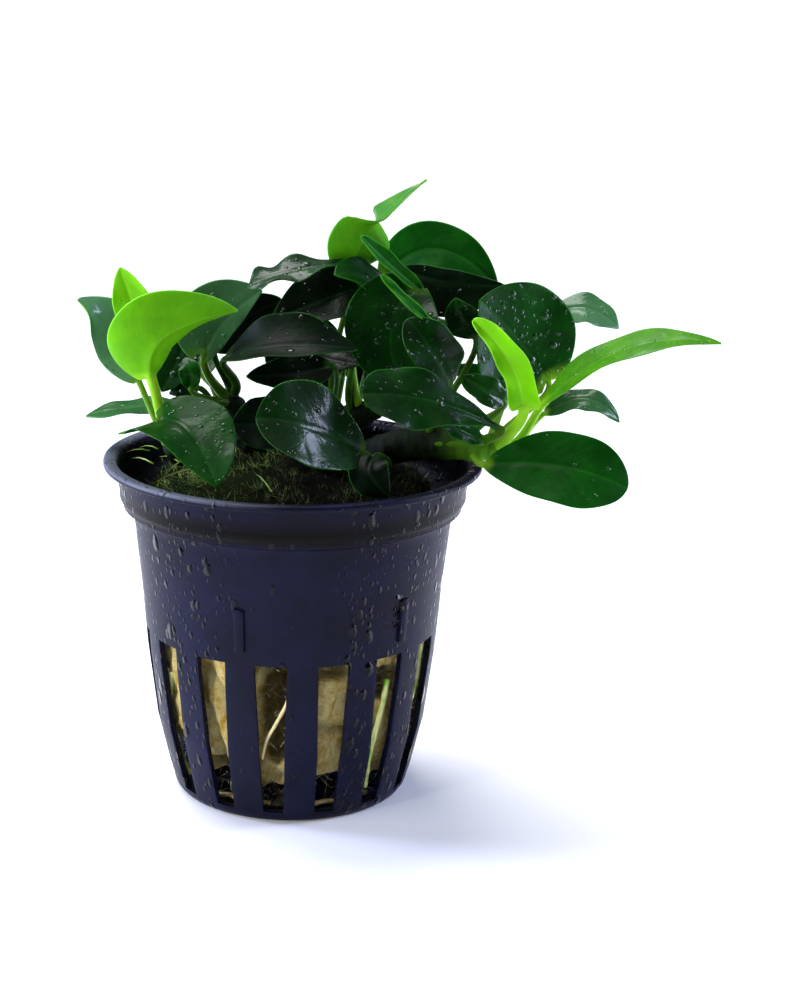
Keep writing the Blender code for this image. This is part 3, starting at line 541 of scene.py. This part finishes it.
    leaf("grey_gloss", RIGHT, 0.55, (-0.2, 0.6, 1), (25.75, 2.5, 68), (24, 1, 71), (22.75, 0, 73.75),
         (-0.4, -0.8, 0.4), (2.9, 2.6), cup=(10, 10), lobe=0.5, full=0.4, film=0.4),
    leaf("back_middle", BACK, 0.12, (-0.9, 0.7, 0.5), (2.25, 11, 67.75), (1, 11, 61.75), (-0.5, 10.5, 56.25),
         (-0.1, 0.95, 0.2), (6.4, 6.0), lobe=1.2, full=0.45, tone=0.0),
    leaf("back_low", BACK, 0.6, (0.3, 1, 0.4), (11.5, 16, 64.5), (11.25, 18, 59.5), (10.75, 18, 54.5),
         (0.1, 0.95, 0.2), (5.2, 3.8), lobe=1.2, full=0.45, tone=0.0),
    leaf("back_left", LEFT, 0.7, (-0.4, 1, 0.5), (-15, 14.5, 59), (-19, 20, 60.5), (-24, 25.5, 57),
         (-0.3, 0.3, 0.9), (4.8, 4.8), lobe=1.2, tone=0.3, film=0.6),
    leaf("back_right", BACK, 0.97, (0.8, 1, 0.1), (18, 15, 64), (23, 20.5, 66), (29, 26, 62.5), (0.3, 0.3, 0.9),
         (5, 5), lobe=1.4, film=0.5),
    leaf("back_high", BACK, 0.42, (0, 1, 0.1), (8, 16.5, 69), (8, 22, 72), (7, 28, 70), (0, 0.5, 0.9), (5.2, 5.2),
         lobe=1.4, tone=0.3, film=0.6),
)


YOUNG = ("lime_hood", "lime_spear", "top_lime", "rolled_new", "rolled_narrow", "lime_roll")


def foot_of(perch):
    """Where a stalk starts, just inside the rhizome's skin, and the way it leaves."""
    rhizome, share, direction = perch
    route, radii = RHIZOMES[rhizome]
    place = share * (len(route) - 1)
    centre = [np.interp(place, range(len(route)), axis) for axis in zip(*route)]
    out = unit(direction)
    return np.array(centre) + out * 0.55 * np.interp(place, range(len(radii)), radii), out


def leaf_piece(spec, material, slot, seed):
    """Stalk: rings along a Bezier curve from rhizome to blade. Blade: at a share t of the quadratic midrib and
    s from -1 to 1 across it, half-width is width t^p (1-t)^q; each half curls up along an arc; lobes pull the
    base back by lobe (1-t)^3 |s|^1.6; the edge waves."""
    b, m, e = np.array(spec["midrib"], float)
    foot, out = foot_of(spec["perch"])
    t = 0.012 + 0.988 * (0.5 - 0.5 * np.cos(np.linspace(0, math.pi, BLADE_ROWS)))[:, None]
    centre = b * (1 - t) * (1 - 2 * t) + m * 4 * t * (1 - t) + e * t * (2 * t - 1)
    run = unit(b * (4 * t - 3) + m * (4 - 8 * t) + e * (4 * t - 1))
    face = unit(spec["face"])
    turned = np.clip((t - 0.4) / 0.25, 0, 1)
    normal = square_to(face + (unit(spec["twist"] or face) - face) * turned**2 * (3 - 2 * turned), run)
    side = np.cross(run, normal)

    u = np.linspace(0, 1, STALK_ROWS, endpoint=False)[:, None]
    into = unit(4 * m - 3 * b - e)
    reach = np.linalg.norm(b - foot)
    c1, c2 = foot + out * reach * 0.3, b - into * min(reach * 0.3, 4.0)
    stem = (1 - u) ** 3 * foot + 3 * (1 - u) ** 2 * u * c1 + 3 * (1 - u) * u**2 * c2 + u**3 * b
    stem_run = unit((1 - u) ** 2 * (c1 - foot) + 2 * (1 - u) * u * (c2 - c1) + u**2 * (b - c2))
    stem_normal = carried(stem_run[::-1], normal[0])[::-1]
    stem_side = np.cross(stem_run, stem_normal)

    x = np.linspace(1, -1, ACROSS + 1)
    s = 0.55 * x + 0.45 * np.sin(x * math.pi / 2)
    s = np.concatenate([s, -s[1:-1]])
    low = np.arange(len(s)) > ACROSS
    rise_sign = np.where(low, -1.0, 1.0)
    a = np.arccos(np.clip(s, -1, 1)) * rise_sign

    thick = spec["stalk"] * (1 + 0.5 * (1 - u) ** 4 - 0.12 * u)
    stem_rings = stem[:, None] + thick[:, None] * (
        stem_side[:, None] * np.cos(a)[None, :, None] + 0.85 * stem_normal[:, None] * np.sin(a)[None, :, None]
    )

    p, q = spec["blunt"] * spec["full"], spec["blunt"] * (1 - spec["full"])
    shape = t**p * (1 - t) ** q / (spec["full"] ** p * (1 - spec["full"]) ** q)
    right = s > 0
    width, cup, lobe = (np.where(right, spec[key][1], spec[key][0])[None] for key in ("width", "cup", "lobe"))
    half = np.maximum(np.maximum(width * shape, spec["stalk"] * 0.85 * (1 - t) ** 2), 0.2)
    curl = np.radians(cup)
    r = np.abs(s)[None]
    turn = curl * r
    across = half * np.sin(turn) / curl
    rise = half * (1 - np.cos(turn)) / curl
    ripple = np.sin(TAU * (t * 2.3 + seed * 0.37) + np.where(right, 0.0, 2.1)[None])
    rise = rise + spec["wave"] * ripple * r**2 * shape
    dist = r * half
    body = LEAF_THICKNESS / 2 * (1 - s**2)[None] ** 0.4
    body = np.minimum(body, half * 0.8)
    groove = -0.2 * np.exp(-((dist / 0.4) ** 2)) * (1 - 0.6 * t)
    keel = 0.4 * spec["stalk"] * np.exp(-((dist / 0.5) ** 2)) * (1 - t) ** 0.8
    neck = np.clip(1 - t / 0.05, 0, 1)
    round_stalk = spec["stalk"] * 0.7 * np.sqrt(np.clip(1 - r**2, 0, 1)) * neck
    body = np.maximum(body, round_stalk)
    skin = np.where(low[None], -(body + keel), body + groove)
    back = lobe * (1 - t) ** 3 * r**1.6
    rings = (
        centre[:, None]
        + side[:, None] * (np.sign(s)[None] * (across - skin * np.sin(turn)))[..., None]
        + normal[:, None] * (rise + skin * np.cos(turn))[..., None]
        - run[:, None] * back[..., None]
    )

    rows, count = STALK_ROWS + BLADE_ROWS, len(s)
    pad = np.ones((STALK_ROWS, count))
    keys = {key: np.full((rows, count), spec[key]) for key in ("tone", "petiole", "film", "haze", "dew")}
    keys["lower"] = np.vstack([pad * 0, np.broadcast_to(low[None] * 1.0, half.shape)])
    keys["stem"] = np.vstack([pad, np.clip(1 - t / 0.06, 0, 1) * np.ones((1, count))])
    keys["vein"] = np.vstack([pad * 0, 11 * (t + 0.02) - 3.2 * r**1.25 * np.where(right, 1.0, 1.04)[None]])
    keys["rib"] = np.vstack([pad * 0, dist])
    keys["margin"] = np.vstack([pad * 5, half - dist])
    points = np.concatenate([stem_rings, rings]).reshape(-1, 3)
    name = "leaf_" + spec["name"]
    return piece(name, points, ring_faces(rows, count), material, slot, name, **keys)


def rhizome_piece(name, material):
    """A round stem whose radius swells and pinches along it, more at the ring scars of old leaves."""
    points, radii = RHIZOMES[name]
    count, steps, scar_gap = 28, 16, 1.7
    route = smooth_route(points, steps)
    thick = smooth_route(np.column_stack([radii, radii, radii]), steps)[:, 0]
    share = np.linspace(0, 1, len(route))
    length = np.linalg.norm(np.diff(route, axis=0), axis=1).sum()
    along = share * length
    scar = np.abs(np.sin(along * math.pi / scar_gap)) ** 8
    ends = np.clip(np.minimum(along, length - along) / 1.2, 0, 1) ** 0.5
    radius = (thick * (0.97 + 0.05 * scar))[:, None] * np.ones((1, count))
    rings = tube_rings(route, radius * np.maximum(ends, 0.15)[:, None], count)
    rings += unit(rings - route[:, None]) * (0.18 * lumps(rings, 1.1, 4) + 0.3 * lumps(rings, 2.6, 9))[..., None]
    ring = np.repeat((np.abs(np.sin(along * math.pi / scar_gap + 0.5)) ** 14)[:, None], count, 1)
    return piece(name, rings, ring_faces(len(route), count), material, "rhizome", name, ring=ring)


# ---------------------------------------------------------------- pot

MOUTH_RADIUS, WALL, FLOOR = 25.2, 0.9, 1.2
WALL_STATIONS = ((42.7, 23.3), (32.0, 22.1), (22.0, 21.3), (11.0, 19.9), (3.0, 18.0))
SLOTS, SLOT_TURN, SLOT_TOP, SLOT_FOOT = 15, -4.9, 25.2, 1.5
SLOT_WIDTH_TOP, SLOT_WIDTH_FOOT = 4.7, 2.95
HOLE_INNER, HOLE_OUTER, HOLE_WIDTH_INNER, HOLE_WIDTH_OUTER = 6.0, 14.2, 1.4, 3.0
RIDGE_TURNS = (-16.4, 48.0, 112.5, 177.0, 241.5)
SECTOR_COLUMNS = 16


def wall_radius(height):
    """Outer radius of the pot's wall at a height, rounded between its stations."""
    heights, radii = np.array(WALL_STATIONS[::-1]).T
    return np.interp(height, heights, radii)


def pot_profile():
    """Rows down the outside and then in over the floor: outer point, inner point and half-width of the
    opening in that row (0 for none), all in millimetres."""
    rows = []
    flange = ((25.9, 49.9), (27.1, 50.0), (27.4, 49.9), (27.5, 49.65), (27.5, 49.3), (27.4, 49.1), (27.0, 49.0),
              (26.0, 48.95), (25.6, 48.8), (25.5, 48.3), (25.4, 46.9), (25.2, 45.4), (25.1, 44.6), (24.9, 44.1),
              (24.3, 43.4), (23.6, 42.85))
    heights = (49.7, 49.3, 48.9, 48.5, 48.0, 47.6, 47.2, 46.8, 46.3, 45.8, 45.2, 44.6, 44.1, 43.7, 43.2, 42.7)
    for (r, z), inner in zip(flange, heights):
        lip = 0.5 if inner > 49.5 else 0.15 if inner > 49.0 else 0.0
        wall = MOUTH_RADIUS + lip - (0.55 if inner < 44 else 0.25 if inner < 44.5 else 0.0)
        rows.append(((r, z), (wall - (1.0 if inner < 43 else 0.0), inner), 0.0))
    for z in np.concatenate([np.arange(42.3, 25.6, -1.1), [25.21]]):
        r = float(wall_radius(z))
        rows.append(((r, z), (r - WALL, z), 0.0))
    for z in np.concatenate([[25.19], np.arange(24.2, 2.2, -1.1), [1.6]]):
        r = float(wall_radius(max(z, 3.0))) - (0.45 if z < 3 else 0.0)
        width = SLOT_WIDTH_FOOT + (SLOT_WIDTH_TOP - SLOT_WIDTH_FOOT) * (z - SLOT_FOOT) / (SLOT_TOP - SLOT_FOOT)
        rows.append(((r, z), (r - WALL, max(z, 1.45)), width / 2))
    rows += [((17.35, 0.9), (16.0, 1.3), 0.0), ((16.9, 0.25), (15.6, FLOOR), 0.0)]
    rows += [((16.4, 0.0), (15.2, FLOOR), 0.0), ((14.25, 0.0), (14.25, FLOOR), 0.0)]
    for r in np.linspace(HOLE_OUTER, HOLE_INNER, 9):
        share = (r - HOLE_INNER) / (HOLE_OUTER - HOLE_INNER)
        width = HOLE_WIDTH_INNER + (HOLE_WIDTH_OUTER - HOLE_WIDTH_INNER) * share
        rows.append(((r, 0.0), (r, FLOOR), width / 2))
    return rows + [((r, 0.0), (r, FLOOR), 0.0) for r in (5.95, 3.0, 0.0)]


def pot_piece(material):
    """Two sheets, outer and inner, on one grid of rows by turn. In each fifteenth of a turn the columns
    gather at the edges of that row's opening; cells inside an opening are left out, and a wall of quads
    joins the sheets round every edge."""
    rows = pot_profile()
    total = SLOTS * SECTOR_COLUMNS
    outer = np.array([row[0] for row in rows])
    inner = np.array([row[1] for row in rows])
    half_open = np.array([row[2] for row in rows])
    template = np.where(half_open > 0, half_open, 2.6)
    share = np.arange(SECTOR_COLUMNS) / SECTOR_COLUMNS - 0.5
    edge = 0.25
    sector = TAU / SLOTS

    def turns(radius):
        """Angle of each column: inside the opening for |share| below a quarter, on the bar beyond it."""
        gap = np.clip(template / np.maximum(radius, 0.5), 0, 0.4 * sector)[:, None]
        inside = share / edge * gap
        outside = np.sign(share) * (gap + (np.abs(share) - edge) / (0.5 - edge) * (sector / 2 - gap))
        one = np.where(np.abs(share)[None] <= edge, inside, outside)
        starts = math.radians(SLOT_TURN) + np.arange(SLOTS) * sector
        return (starts[None, :, None] + one[:, None, :]).reshape(len(rows), total)

    def sheet(profile):
        a = turns(profile[:, 0])
        r, z = profile[:, :1], profile[:, 1:]
        return np.stack([r * np.sin(a), -r * np.cos(a), z + 0 * a], -1)

    points = np.concatenate([sheet(outer).reshape(-1, 3), sheet(inner).reshape(-1, 3)])
    r, c = np.meshgrid(np.arange(len(rows) - 1), np.arange(total), indexing="ij")
    column = (c % SECTOR_COLUMNS + 0.5) / SECTOR_COLUMNS - 0.5
    cut = (half_open[r] > 0) & (half_open[r + 1] > 0) & (np.abs(column) < edge)
    n = (c + 1) % total
    corners = np.stack([r * total + c, (r + 1) * total + c, (r + 1) * total + n, r * total + n], -1)
    keep = ~cut
    lift = len(rows) * total
    faces = [corners[keep], corners[keep][:, ::-1] + lift]
    spans = (
        (0, 1, np.roll(cut, 1, 1)), (2, 3, np.roll(cut, -1, 1)),
        (3, 0, np.vstack([np.ones((1, total), bool), cut[:-1]])),
        (1, 2, np.vstack([cut[1:], np.zeros((1, total), bool)])),
    )
    for first, second, beyond in spans:
        at = keep & beyond
        p, q = corners[at][:, first], corners[at][:, second]
        faces.append(np.stack([q, p, p + lift, q + lift], -1))
    for turn in RIDGE_TURNS:
        block, quads = ridge(math.radians(turn))
        faces.append(quads + len(points))
        points = np.vstack([points, block])
    made = piece("net_pot_wet", points, np.vstack(faces).tolist(), material, "net_pot", "net_pot")
    bm = bmesh.new()
    bm.from_mesh(made.data)
    bmesh.ops.remove_doubles(bm, verts=bm.verts, dist=0.0005 * MM)
    bmesh.ops.dissolve_degenerate(bm, dist=0.0005 * MM, edges=bm.edges)
    bmesh.ops.recalc_face_normals(bm, faces=bm.faces)
    bm.to_mesh(made.data)
    bm.free()
    bevel = made.modifiers.new("Soft edges", "BEVEL")
    bevel.width = 0.16 * MM
    bevel.segments = 2
    bevel.limit_method = "ANGLE"
    bevel.angle_limit = math.radians(50)
    return made


def ridge(turn):
    """A short upright bar, flat in front: an oblong profile carried up the wall, closed at its ends."""
    heights = np.array([27.1, 27.12, 27.3, 28.7, 30.7, 32.2, 33.3, 33.48, 33.5])
    size = np.array([0.3, 0.85, 1.0, 1.0, 1.0, 1.0, 1.0, 0.85, 0.3])
    count = 12
    a = np.linspace(0, TAU, count, endpoint=False)
    x = 0.75 * np.cbrt(np.cos(a))[None] * size[:, None]
    y = -wall_radius(heights)[:, None] - (0.42 * np.cbrt(np.sin(a))[None] * size[:, None])
    z = np.broadcast_to(heights[:, None], x.shape)
    points = np.stack([x * math.cos(turn) - y * math.sin(turn), x * math.sin(turn) + y * math.cos(turn), z], -1)
    quads = np.array([f for f in ring_faces(len(heights), count) if len(f) == 4])
    tip = [[k, k + 1, count - k - 2, count - k - 1] for k in range(count // 2 - 1)]
    top = (len(heights) - 1) * count
    return points.reshape(-1, 3), np.vstack([quads, tip, [[top + i for i in f[::-1]] for f in tip]])


# ---------------------------------------------------------------- wool, moss, roots

WOOL_PROFILE = ((5.0, 2.0), (5.0, 8.0), (4.9, 13.2), (6.0, 16.2), (9.0, 17.6), (13.0, 18.4), (20.0, 19.4),
                (27.0, 19.9), (33.0, 20.6), (38.0, 21.2), (42.0, 21.4), (44.8, 20.8), (46.6, 19.2), (47.8, 16.4),
                (48.4, 12.0), (48.8, 7.0), (49.0, 2.0))
# Torn hollows in the wool, as degrees from the front, height, half-width, half-height and depth
HOLLOWS = ((-1.5, 18.0, 3.0, 8.5, 4.5), (45.0, 20.5, 2.6, 2.2, 3.5), (22.0, 3.0, 6.0, 3.2, 5.0),
           (-33.0, 5.0, 4.0, 3.6, 6.0), (-76.0, 5.5, 4.5, 3.5, 5.0), (20.0, 24.0, 2.4, 1.2, 2.0),
           (98.0, 14.0, 3.0, 7.0, 4.0), (150.0, 20.0, 3.5, 5.0, 4.0), (205.0, 10.0, 3.0, 7.0, 4.0),
           (243.0, 19.0, 3.0, 6.0, 4.0))


def wool_piece(material):
    """A turned outline, pushed in and out by noise of three sizes, with creases between the tufts and
    bulges where a slot leaves it room."""
    z, r = smooth_route(np.array([(a, b, 0) for a, b in WOOL_PROFILE]), 14)[:, :2].T
    count = 300
    turn = np.linspace(0, TAU, count, endpoint=False)[None]
    r, z = np.broadcast_to(r[:, None], (len(r), count)), np.broadcast_to(z[:, None], (len(z), count))
    flat = np.stack([r * np.sin(turn), -r * np.cos(turn), z], -1)
    stretched = flat * (1.0, 1.0, 0.45)
    crease = 1 - np.abs(lumps(stretched, 4.2, 1))
    crease = np.clip(crease - 0.72, 0, 1) / 0.28
    depth = 0.7 * lumps(flat, 4.4, 2) + 0.45 * lumps(flat, 1.9, 3) + 0.22 * lumps(flat, 0.8, 5)
    centred = (np.degrees(turn) - SLOT_TURN + 180 / SLOTS) % (360 / SLOTS) - 180 / SLOTS
    slot = np.exp(-((centred / 5.0) ** 2)) * np.clip((25 - z) / 3, 0, 1) * np.clip((z - 3) / 5, 0, 1)
    side = np.clip(r / 14 - 0.5, 0, 1)
    torn = 0.0 * r
    for degrees, height, wide, tall, deep in HOLLOWS:
        off = (np.degrees(turn) - degrees + 180) % 360 - 180
        near = (np.radians(off) * 19 / wide) ** 2 + ((z - height) / tall) ** 2 + 0.35 * lumps(flat, 1.8, 15)
        torn = np.maximum(torn, deep * np.clip(1.25 - near, 0, 1) ** 0.7)
    push = side * (depth - 1.1 * crease**2 - torn + 0.7 * slot * (lumps(flat, 5.0, 6) + 0.6)) - 0.3
    lift = (1 - side) * (0.9 * lumps(flat, 4.5, 7) + 0.5 * lumps(flat, 1.6, 8)) * (z > 30)
    lift += (2.2 * lumps(flat, 6.0, 16) + 0.8 * lumps(flat, 1.7, 17)) * np.clip((9 - z) / 4, 0, 1)
    points = np.stack([(r + push) * np.sin(turn), -(r + push) * np.cos(turn), z + lift], -1)
    # painted shade: marks the creases, deep dips and torn hollows that the skin darkens for the shade in them
    pit = np.clip(crease**2 * 0.5 + np.clip(-depth - 0.7, 0, 1) + 0.35 * torn, 0, 1) * side
    moss = np.clip((z - 40.5) / 3.5, 0, 1)
    return piece("mineral_wool_plug", points, ring_faces(len(r), count), material, "mineral_wool", "mineral_wool",
                 pit=pit, moss=moss)


MOSS_THREADS, LOOSE_FIBRES = 9000, 1500
THREAD_STEPS = 3


def strands(name, roots, heads, bends, radius, material, shade):
    """Many fine tapered threads in one mesh: each is three-sided, on a quadratic from root over bend to head."""
    t = np.linspace(0, 1, THREAD_STEPS + 1)[None, :, None]
    centre = (1 - t) ** 2 * roots[:, None] + 2 * (1 - t) * t * bends[:, None] + t**2 * heads[:, None]
    run = unit(np.gradient(centre, axis=1))
    normal = square_to(np.broadcast_to(unit([0.3, 0.4, 0.87]), run.shape), run)
    side = np.cross(run, normal)
    a = (np.arange(3) / 3 * TAU)[None, None, :, None]
    thin = radius * (1 - 0.8 * t[..., None])
    points = centre[:, :, None] + thin * (side[:, :, None] * np.cos(a) + normal[:, :, None] * np.sin(a))
    one = np.array([f for f in ring_faces(THREAD_STEPS + 1, 3) if len(f) == 4])
    block = 3 * (THREAD_STEPS + 1)
    start = (np.arange(len(roots)) * block)[:, None, None]
    quads = (one[None] + start).reshape(-1, 4)
    ends = np.array([[2, 1, 0], [block - 3, block - 2, block - 1]])
    caps = (ends[None] + start).reshape(-1, 3)
    tint = np.repeat(shade, block)
    return piece(name, points, quads.tolist() + caps.tolist(), material, "mineral_wool", "mineral_wool", shade=tint)


def moss_pieces(moss, fibre):
    """Moss threads stand on the top of the wool in leaning tufts; pale fibres stick out beside the slots."""
    rng = np.random.default_rng(7)
    count = MOSS_THREADS
    r = 21.0 * np.sqrt(rng.random(count))
    turn = rng.random(count) * TAU
    top = np.interp(r, [0, 7, 12, 16.4, 19.2, 20.8, 21.4], [49.0, 48.8, 48.4, 47.8, 46.6, 44.8, 42.0])
    root = np.stack([r * np.sin(turn), -r * np.cos(turn), top - 0.5], -1)
    root[:, 2] += 0.9 * lumps(root * (1, 1, 0), 4.5, 7) * (r < 17)
    lean = np.stack([lumps(root, 3.0, 11), lumps(root, 3.0, 12), 0.6 + 0.4 * lumps(root, 2.0, 13)], -1)
    lean = unit(lean + rng.normal(0, 0.45, (count, 3)) + root * (0.02, 0.02, 0))
    long = (0.5 + 1.9 * rng.random(count) ** 2)[:, None]
    head = root + lean * long
    bend = root + lean * long * 0.5 + rng.normal(0, 0.18, (count, 3))
    # painted light: moss threads are paler towards the left, from x = 4 mm to -14 mm, and darker to the right where
    # the leaves shade them; the rest of each shade is random
    painted_light = np.clip((4 - root[:, 0]) / 18, 0, 1)
    shade = np.clip(rng.random(count) ** 2.2 * (0.25 + 1.2 * painted_light**1.5) * (1 + 0.7 * lumps(root, 3.5, 14)), 0, 1)
    strands("moss_threads", root, head, bend, 0.055, moss, shade)

    count = LOOSE_FIBRES
    height = 2.5 + 23.5 * rng.random(count)
    turn = rng.random(count) * TAU
    r = np.interp(height, [2.5, 8, 13, 20, 27], [15.6, 17.4, 18.3, 19.2, 19.7]) - 0.4
    root = np.stack([r * np.sin(turn), -r * np.cos(turn), height], -1)
    out = root * (1, 1, 0) / r[:, None]
    lean = unit(out * 0.35 + rng.normal(0, 0.6, (count, 3)) + np.array([0, 0, 0.2]))
    long = (0.8 + 2.2 * rng.random(count))[:, None]
    head = root + lean * long
    reach = np.linalg.norm(head[:, :2], axis=1)
    limit = np.interp(head[:, 2], [3, 11, 22, 27], [17.4, 19.2, 20.6, 20.9])
    head[:, :2] *= np.minimum(1, limit / reach)[:, None]
    bend = (root + head) / 2 + rng.normal(0, 0.3, (count, 3))
    strands("loose_fibres", root, head, bend, 0.03, fibre, rng.random(count))


# Short roots lying on the moss, as start and end
ROOTLETS = (((-24.8, 4.0, 49.0), (-21.3, 2.8, 49.6)), ((-23.6, 0.5, 49.0), (-19.9, -4.7, 49.6)),
            ((-19.6, 0.9, 49.2), (-16.4, -3.8, 49.8)), ((-19.2, -12.1, 48.6), (-14.0, -7.0, 49.6)),
            ((-4.9, -9.1, 49.6), (-2.2, -15.7, 48.9)), ((-23.4, 7.8, 48.8), (-20.3, 4.7, 49.4)),
            ((-17.5, -6.9, 49.0), (-15.4, -2.6, 49.8)), ((-12.6, -14.6, 48.9), (-9.0, -12.0, 49.6)))


def rootlet_piece(material):
    """Thick strands that arch a little over the moss."""
    ends = np.array(ROOTLETS)
    start, end = ends[:, 0], ends[:, 1]
    rise = np.full(len(ends), 0.7)
    bend = (start + end) / 2 + np.stack([0.9 * lumps(start, 2.0, 21), 0.9 * lumps(start, 2.0, 22), rise], -1)
    strands("surface_rootlets", end, start, bend, 0.15, material, np.ones(len(ends)))


def round_point(degrees, radius, height):
    """A point at a turn from the front, a distance from the axis and a height."""
    a = math.radians(degrees)
    return (radius * math.sin(a), -radius * math.cos(a), height)


SLOT_ROOTS = {
    "root_slot_left_high": ((-84, 29.0), (-81, 25.0), (-80.5, 19.0), (-82, 13.0)),
    "root_slot_left_low": ((-60, 20.0), (-66.5, 14.6), (-70, 9.5), (-67, 5.5), (-60, 3.4)),
    "root_slot_front": ((5, 24.0), (1.2, 19.2), (-3.5, 15.8), (-7.5, 13.2), (-10, 10.0)),
    "root_slot_right_near": ((47, 21.0), (46, 17.5), (43.1, 12.3), (42.5, 8.0), (44, 3.6)),
    "root_slot_right_far": ((74, 29.0), (74.5, 23.6), (74.5, 17.5), (67, 13.7), (67, 8.5), (65, 3.6)),
    "root_slot_back": ((150, 28.0), (156, 21.0), (170, 14.0), (173, 8.0), (165, 4.0)),
    "root_slot_back_left": ((232, 29.0), (226, 22.0), (233, 14.0), (228, 7.0)),
}
FLOOR_ROOTS = {"root_floor_left": (-52, -8), "root_floor_right": (2, 50)}
ROOT_SIDES, FLOOR_STATIONS = 12, 40


def root_pieces(green, straw):
    """Round tapering cords that follow the wall behind the slots, and two that lie round the wool's foot."""
    for name, stops in SLOT_ROOTS.items():
        route = smooth_route([round_point(a, float(wall_radius(z)) - WALL - 0.65, z) for a, z in stops], 12)
        share = np.linspace(0, 1, len(route))
        thin = 0.27 if name == "root_slot_front" else 0.42
        radius = thin * (1 - 0.35 * share**3) * (1 + 0.08 * np.sin(share * 40))
        skin = straw if name in ("root_slot_front", "root_slot_back") else green
        rings = tube_rings(route, radius, ROOT_SIDES)
        piece(name, rings, ring_faces(len(route), ROOT_SIDES), skin, "root", name)
    for name, (start, end) in FLOOR_ROOTS.items():
        turns = np.linspace(start, end, FLOOR_STATIONS)
        route = np.array([round_point(a, 15.2 + 0.25 * math.sin(a / 4), 1.9 + 0.15 * math.sin(a / 3)) for a in turns])
        rings = tube_rings(route, np.full(FLOOR_STATIONS, 0.36), ROOT_SIDES)
        piece(name, rings, ring_faces(FLOOR_STATIONS, ROOT_SIDES), straw, "root", name)


def studio():
    """A dim room with a white strip at the horizon, one broad soft light overhead, two tall faintly blue
    strips beside the pot, and two lamps low on the left that reach the wool and give no reflection."""
    world = bpy.data.worlds.new("studio")
    bpy.context.scene.world = world
    world.use_nodes = True
    tree = world.node_tree
    height = add(tree, "SeparateXYZ", {0: add(tree, "TexCoord").outputs["Generated"]}).outputs[2]
    light = step("scaled", 0.04, 0.16, step("between", height, 0.3, 0.8)) + step("between", height, 0.05, 0.035)
    plug(tree.nodes["Background"], {0: "#ffffff", 1: light})
    bpy.context.scene.view_settings.view_transform = "Standard"
    lamp("overhead", "SUN", (0, 0, 0), (0.24, -0.34, -0.91), energy=3.45, angle=math.radians(40))
    strip = {"shape": "RECTANGLE", "size": 0.12, "size_y": 0.5, "color": linear("#cfd8ff")[:3]}
    lamp("left", "AREA", (-0.45, 0.07, 0.16), (0, 0, 0.04), energy=4.2, **strip)
    lamp("right", "AREA", (0.45, 0.07, 0.16), (0, 0, 0.04), energy=3.6, **strip)
    lamp("fill", "AREA", (-0.46, -0.22, 0.10), (0, 0, 0.03), glossy=False, energy=2.3, shape="RECTANGLE",
         size=0.3, size_y=0.3)
    lamp("snoot", "SPOT", (-0.30, -0.25, 0.05), (-0.008, -0.015, 0.012), glossy=False, energy=7.0,
         spot_size=math.radians(7.5), spot_blend=1.0, shadow_soft_size=0.02)

    paint, tree, shader = finish("white painted table")
    plug(shader, {"Base Color": "#fbfbfb", "Roughness": 0.9, "Specular IOR Level": 0.1})
    mesh = bpy.data.meshes.new("floor")
    mesh.from_pydata([(-8, -8, 0), (8, -8, 0), (8, 8, 0), (-8, 8, 0)], [], [(0, 1, 2, 3)])
    mesh.materials.append(paint)
    stand("floor", mesh)


def main():
    camera()
    studio()
    grown = leaf_skin("grown leaf, waxy green", 0.1)
    young = leaf_skin("young leaf, soft lime", 0.25)
    for seed, spec in enumerate(LEAVES):
        fresh = spec["name"] in YOUNG
        leaf_piece(spec, young if fresh else grown, "leaf_young" if fresh else "leaf_grown", seed)
    bark = stem_skin("creeping stem, green bark")
    for name in RHIZOMES:
        rhizome_piece(name, bark)
    green = root_skin("root in the light, waxy", "#7fb32e", "#d6dc8e")
    straw = root_skin("root in the shade, corky", "#a08c4a", "#d8c890")
    root_pieces(green, straw)
    rootlet_piece(green)
    wool_piece(wool_mat("stone wool, matted"))
    threads = strand_mat("moss threads", "#040702", "#c0e474", 0.6)
    moss_pieces(threads, strand_mat("mineral fibre", "#8d7a44", "#efe6bd", 0.5))
    pot_piece(pot_plastic("net pot polypropylene, satin"))


main()
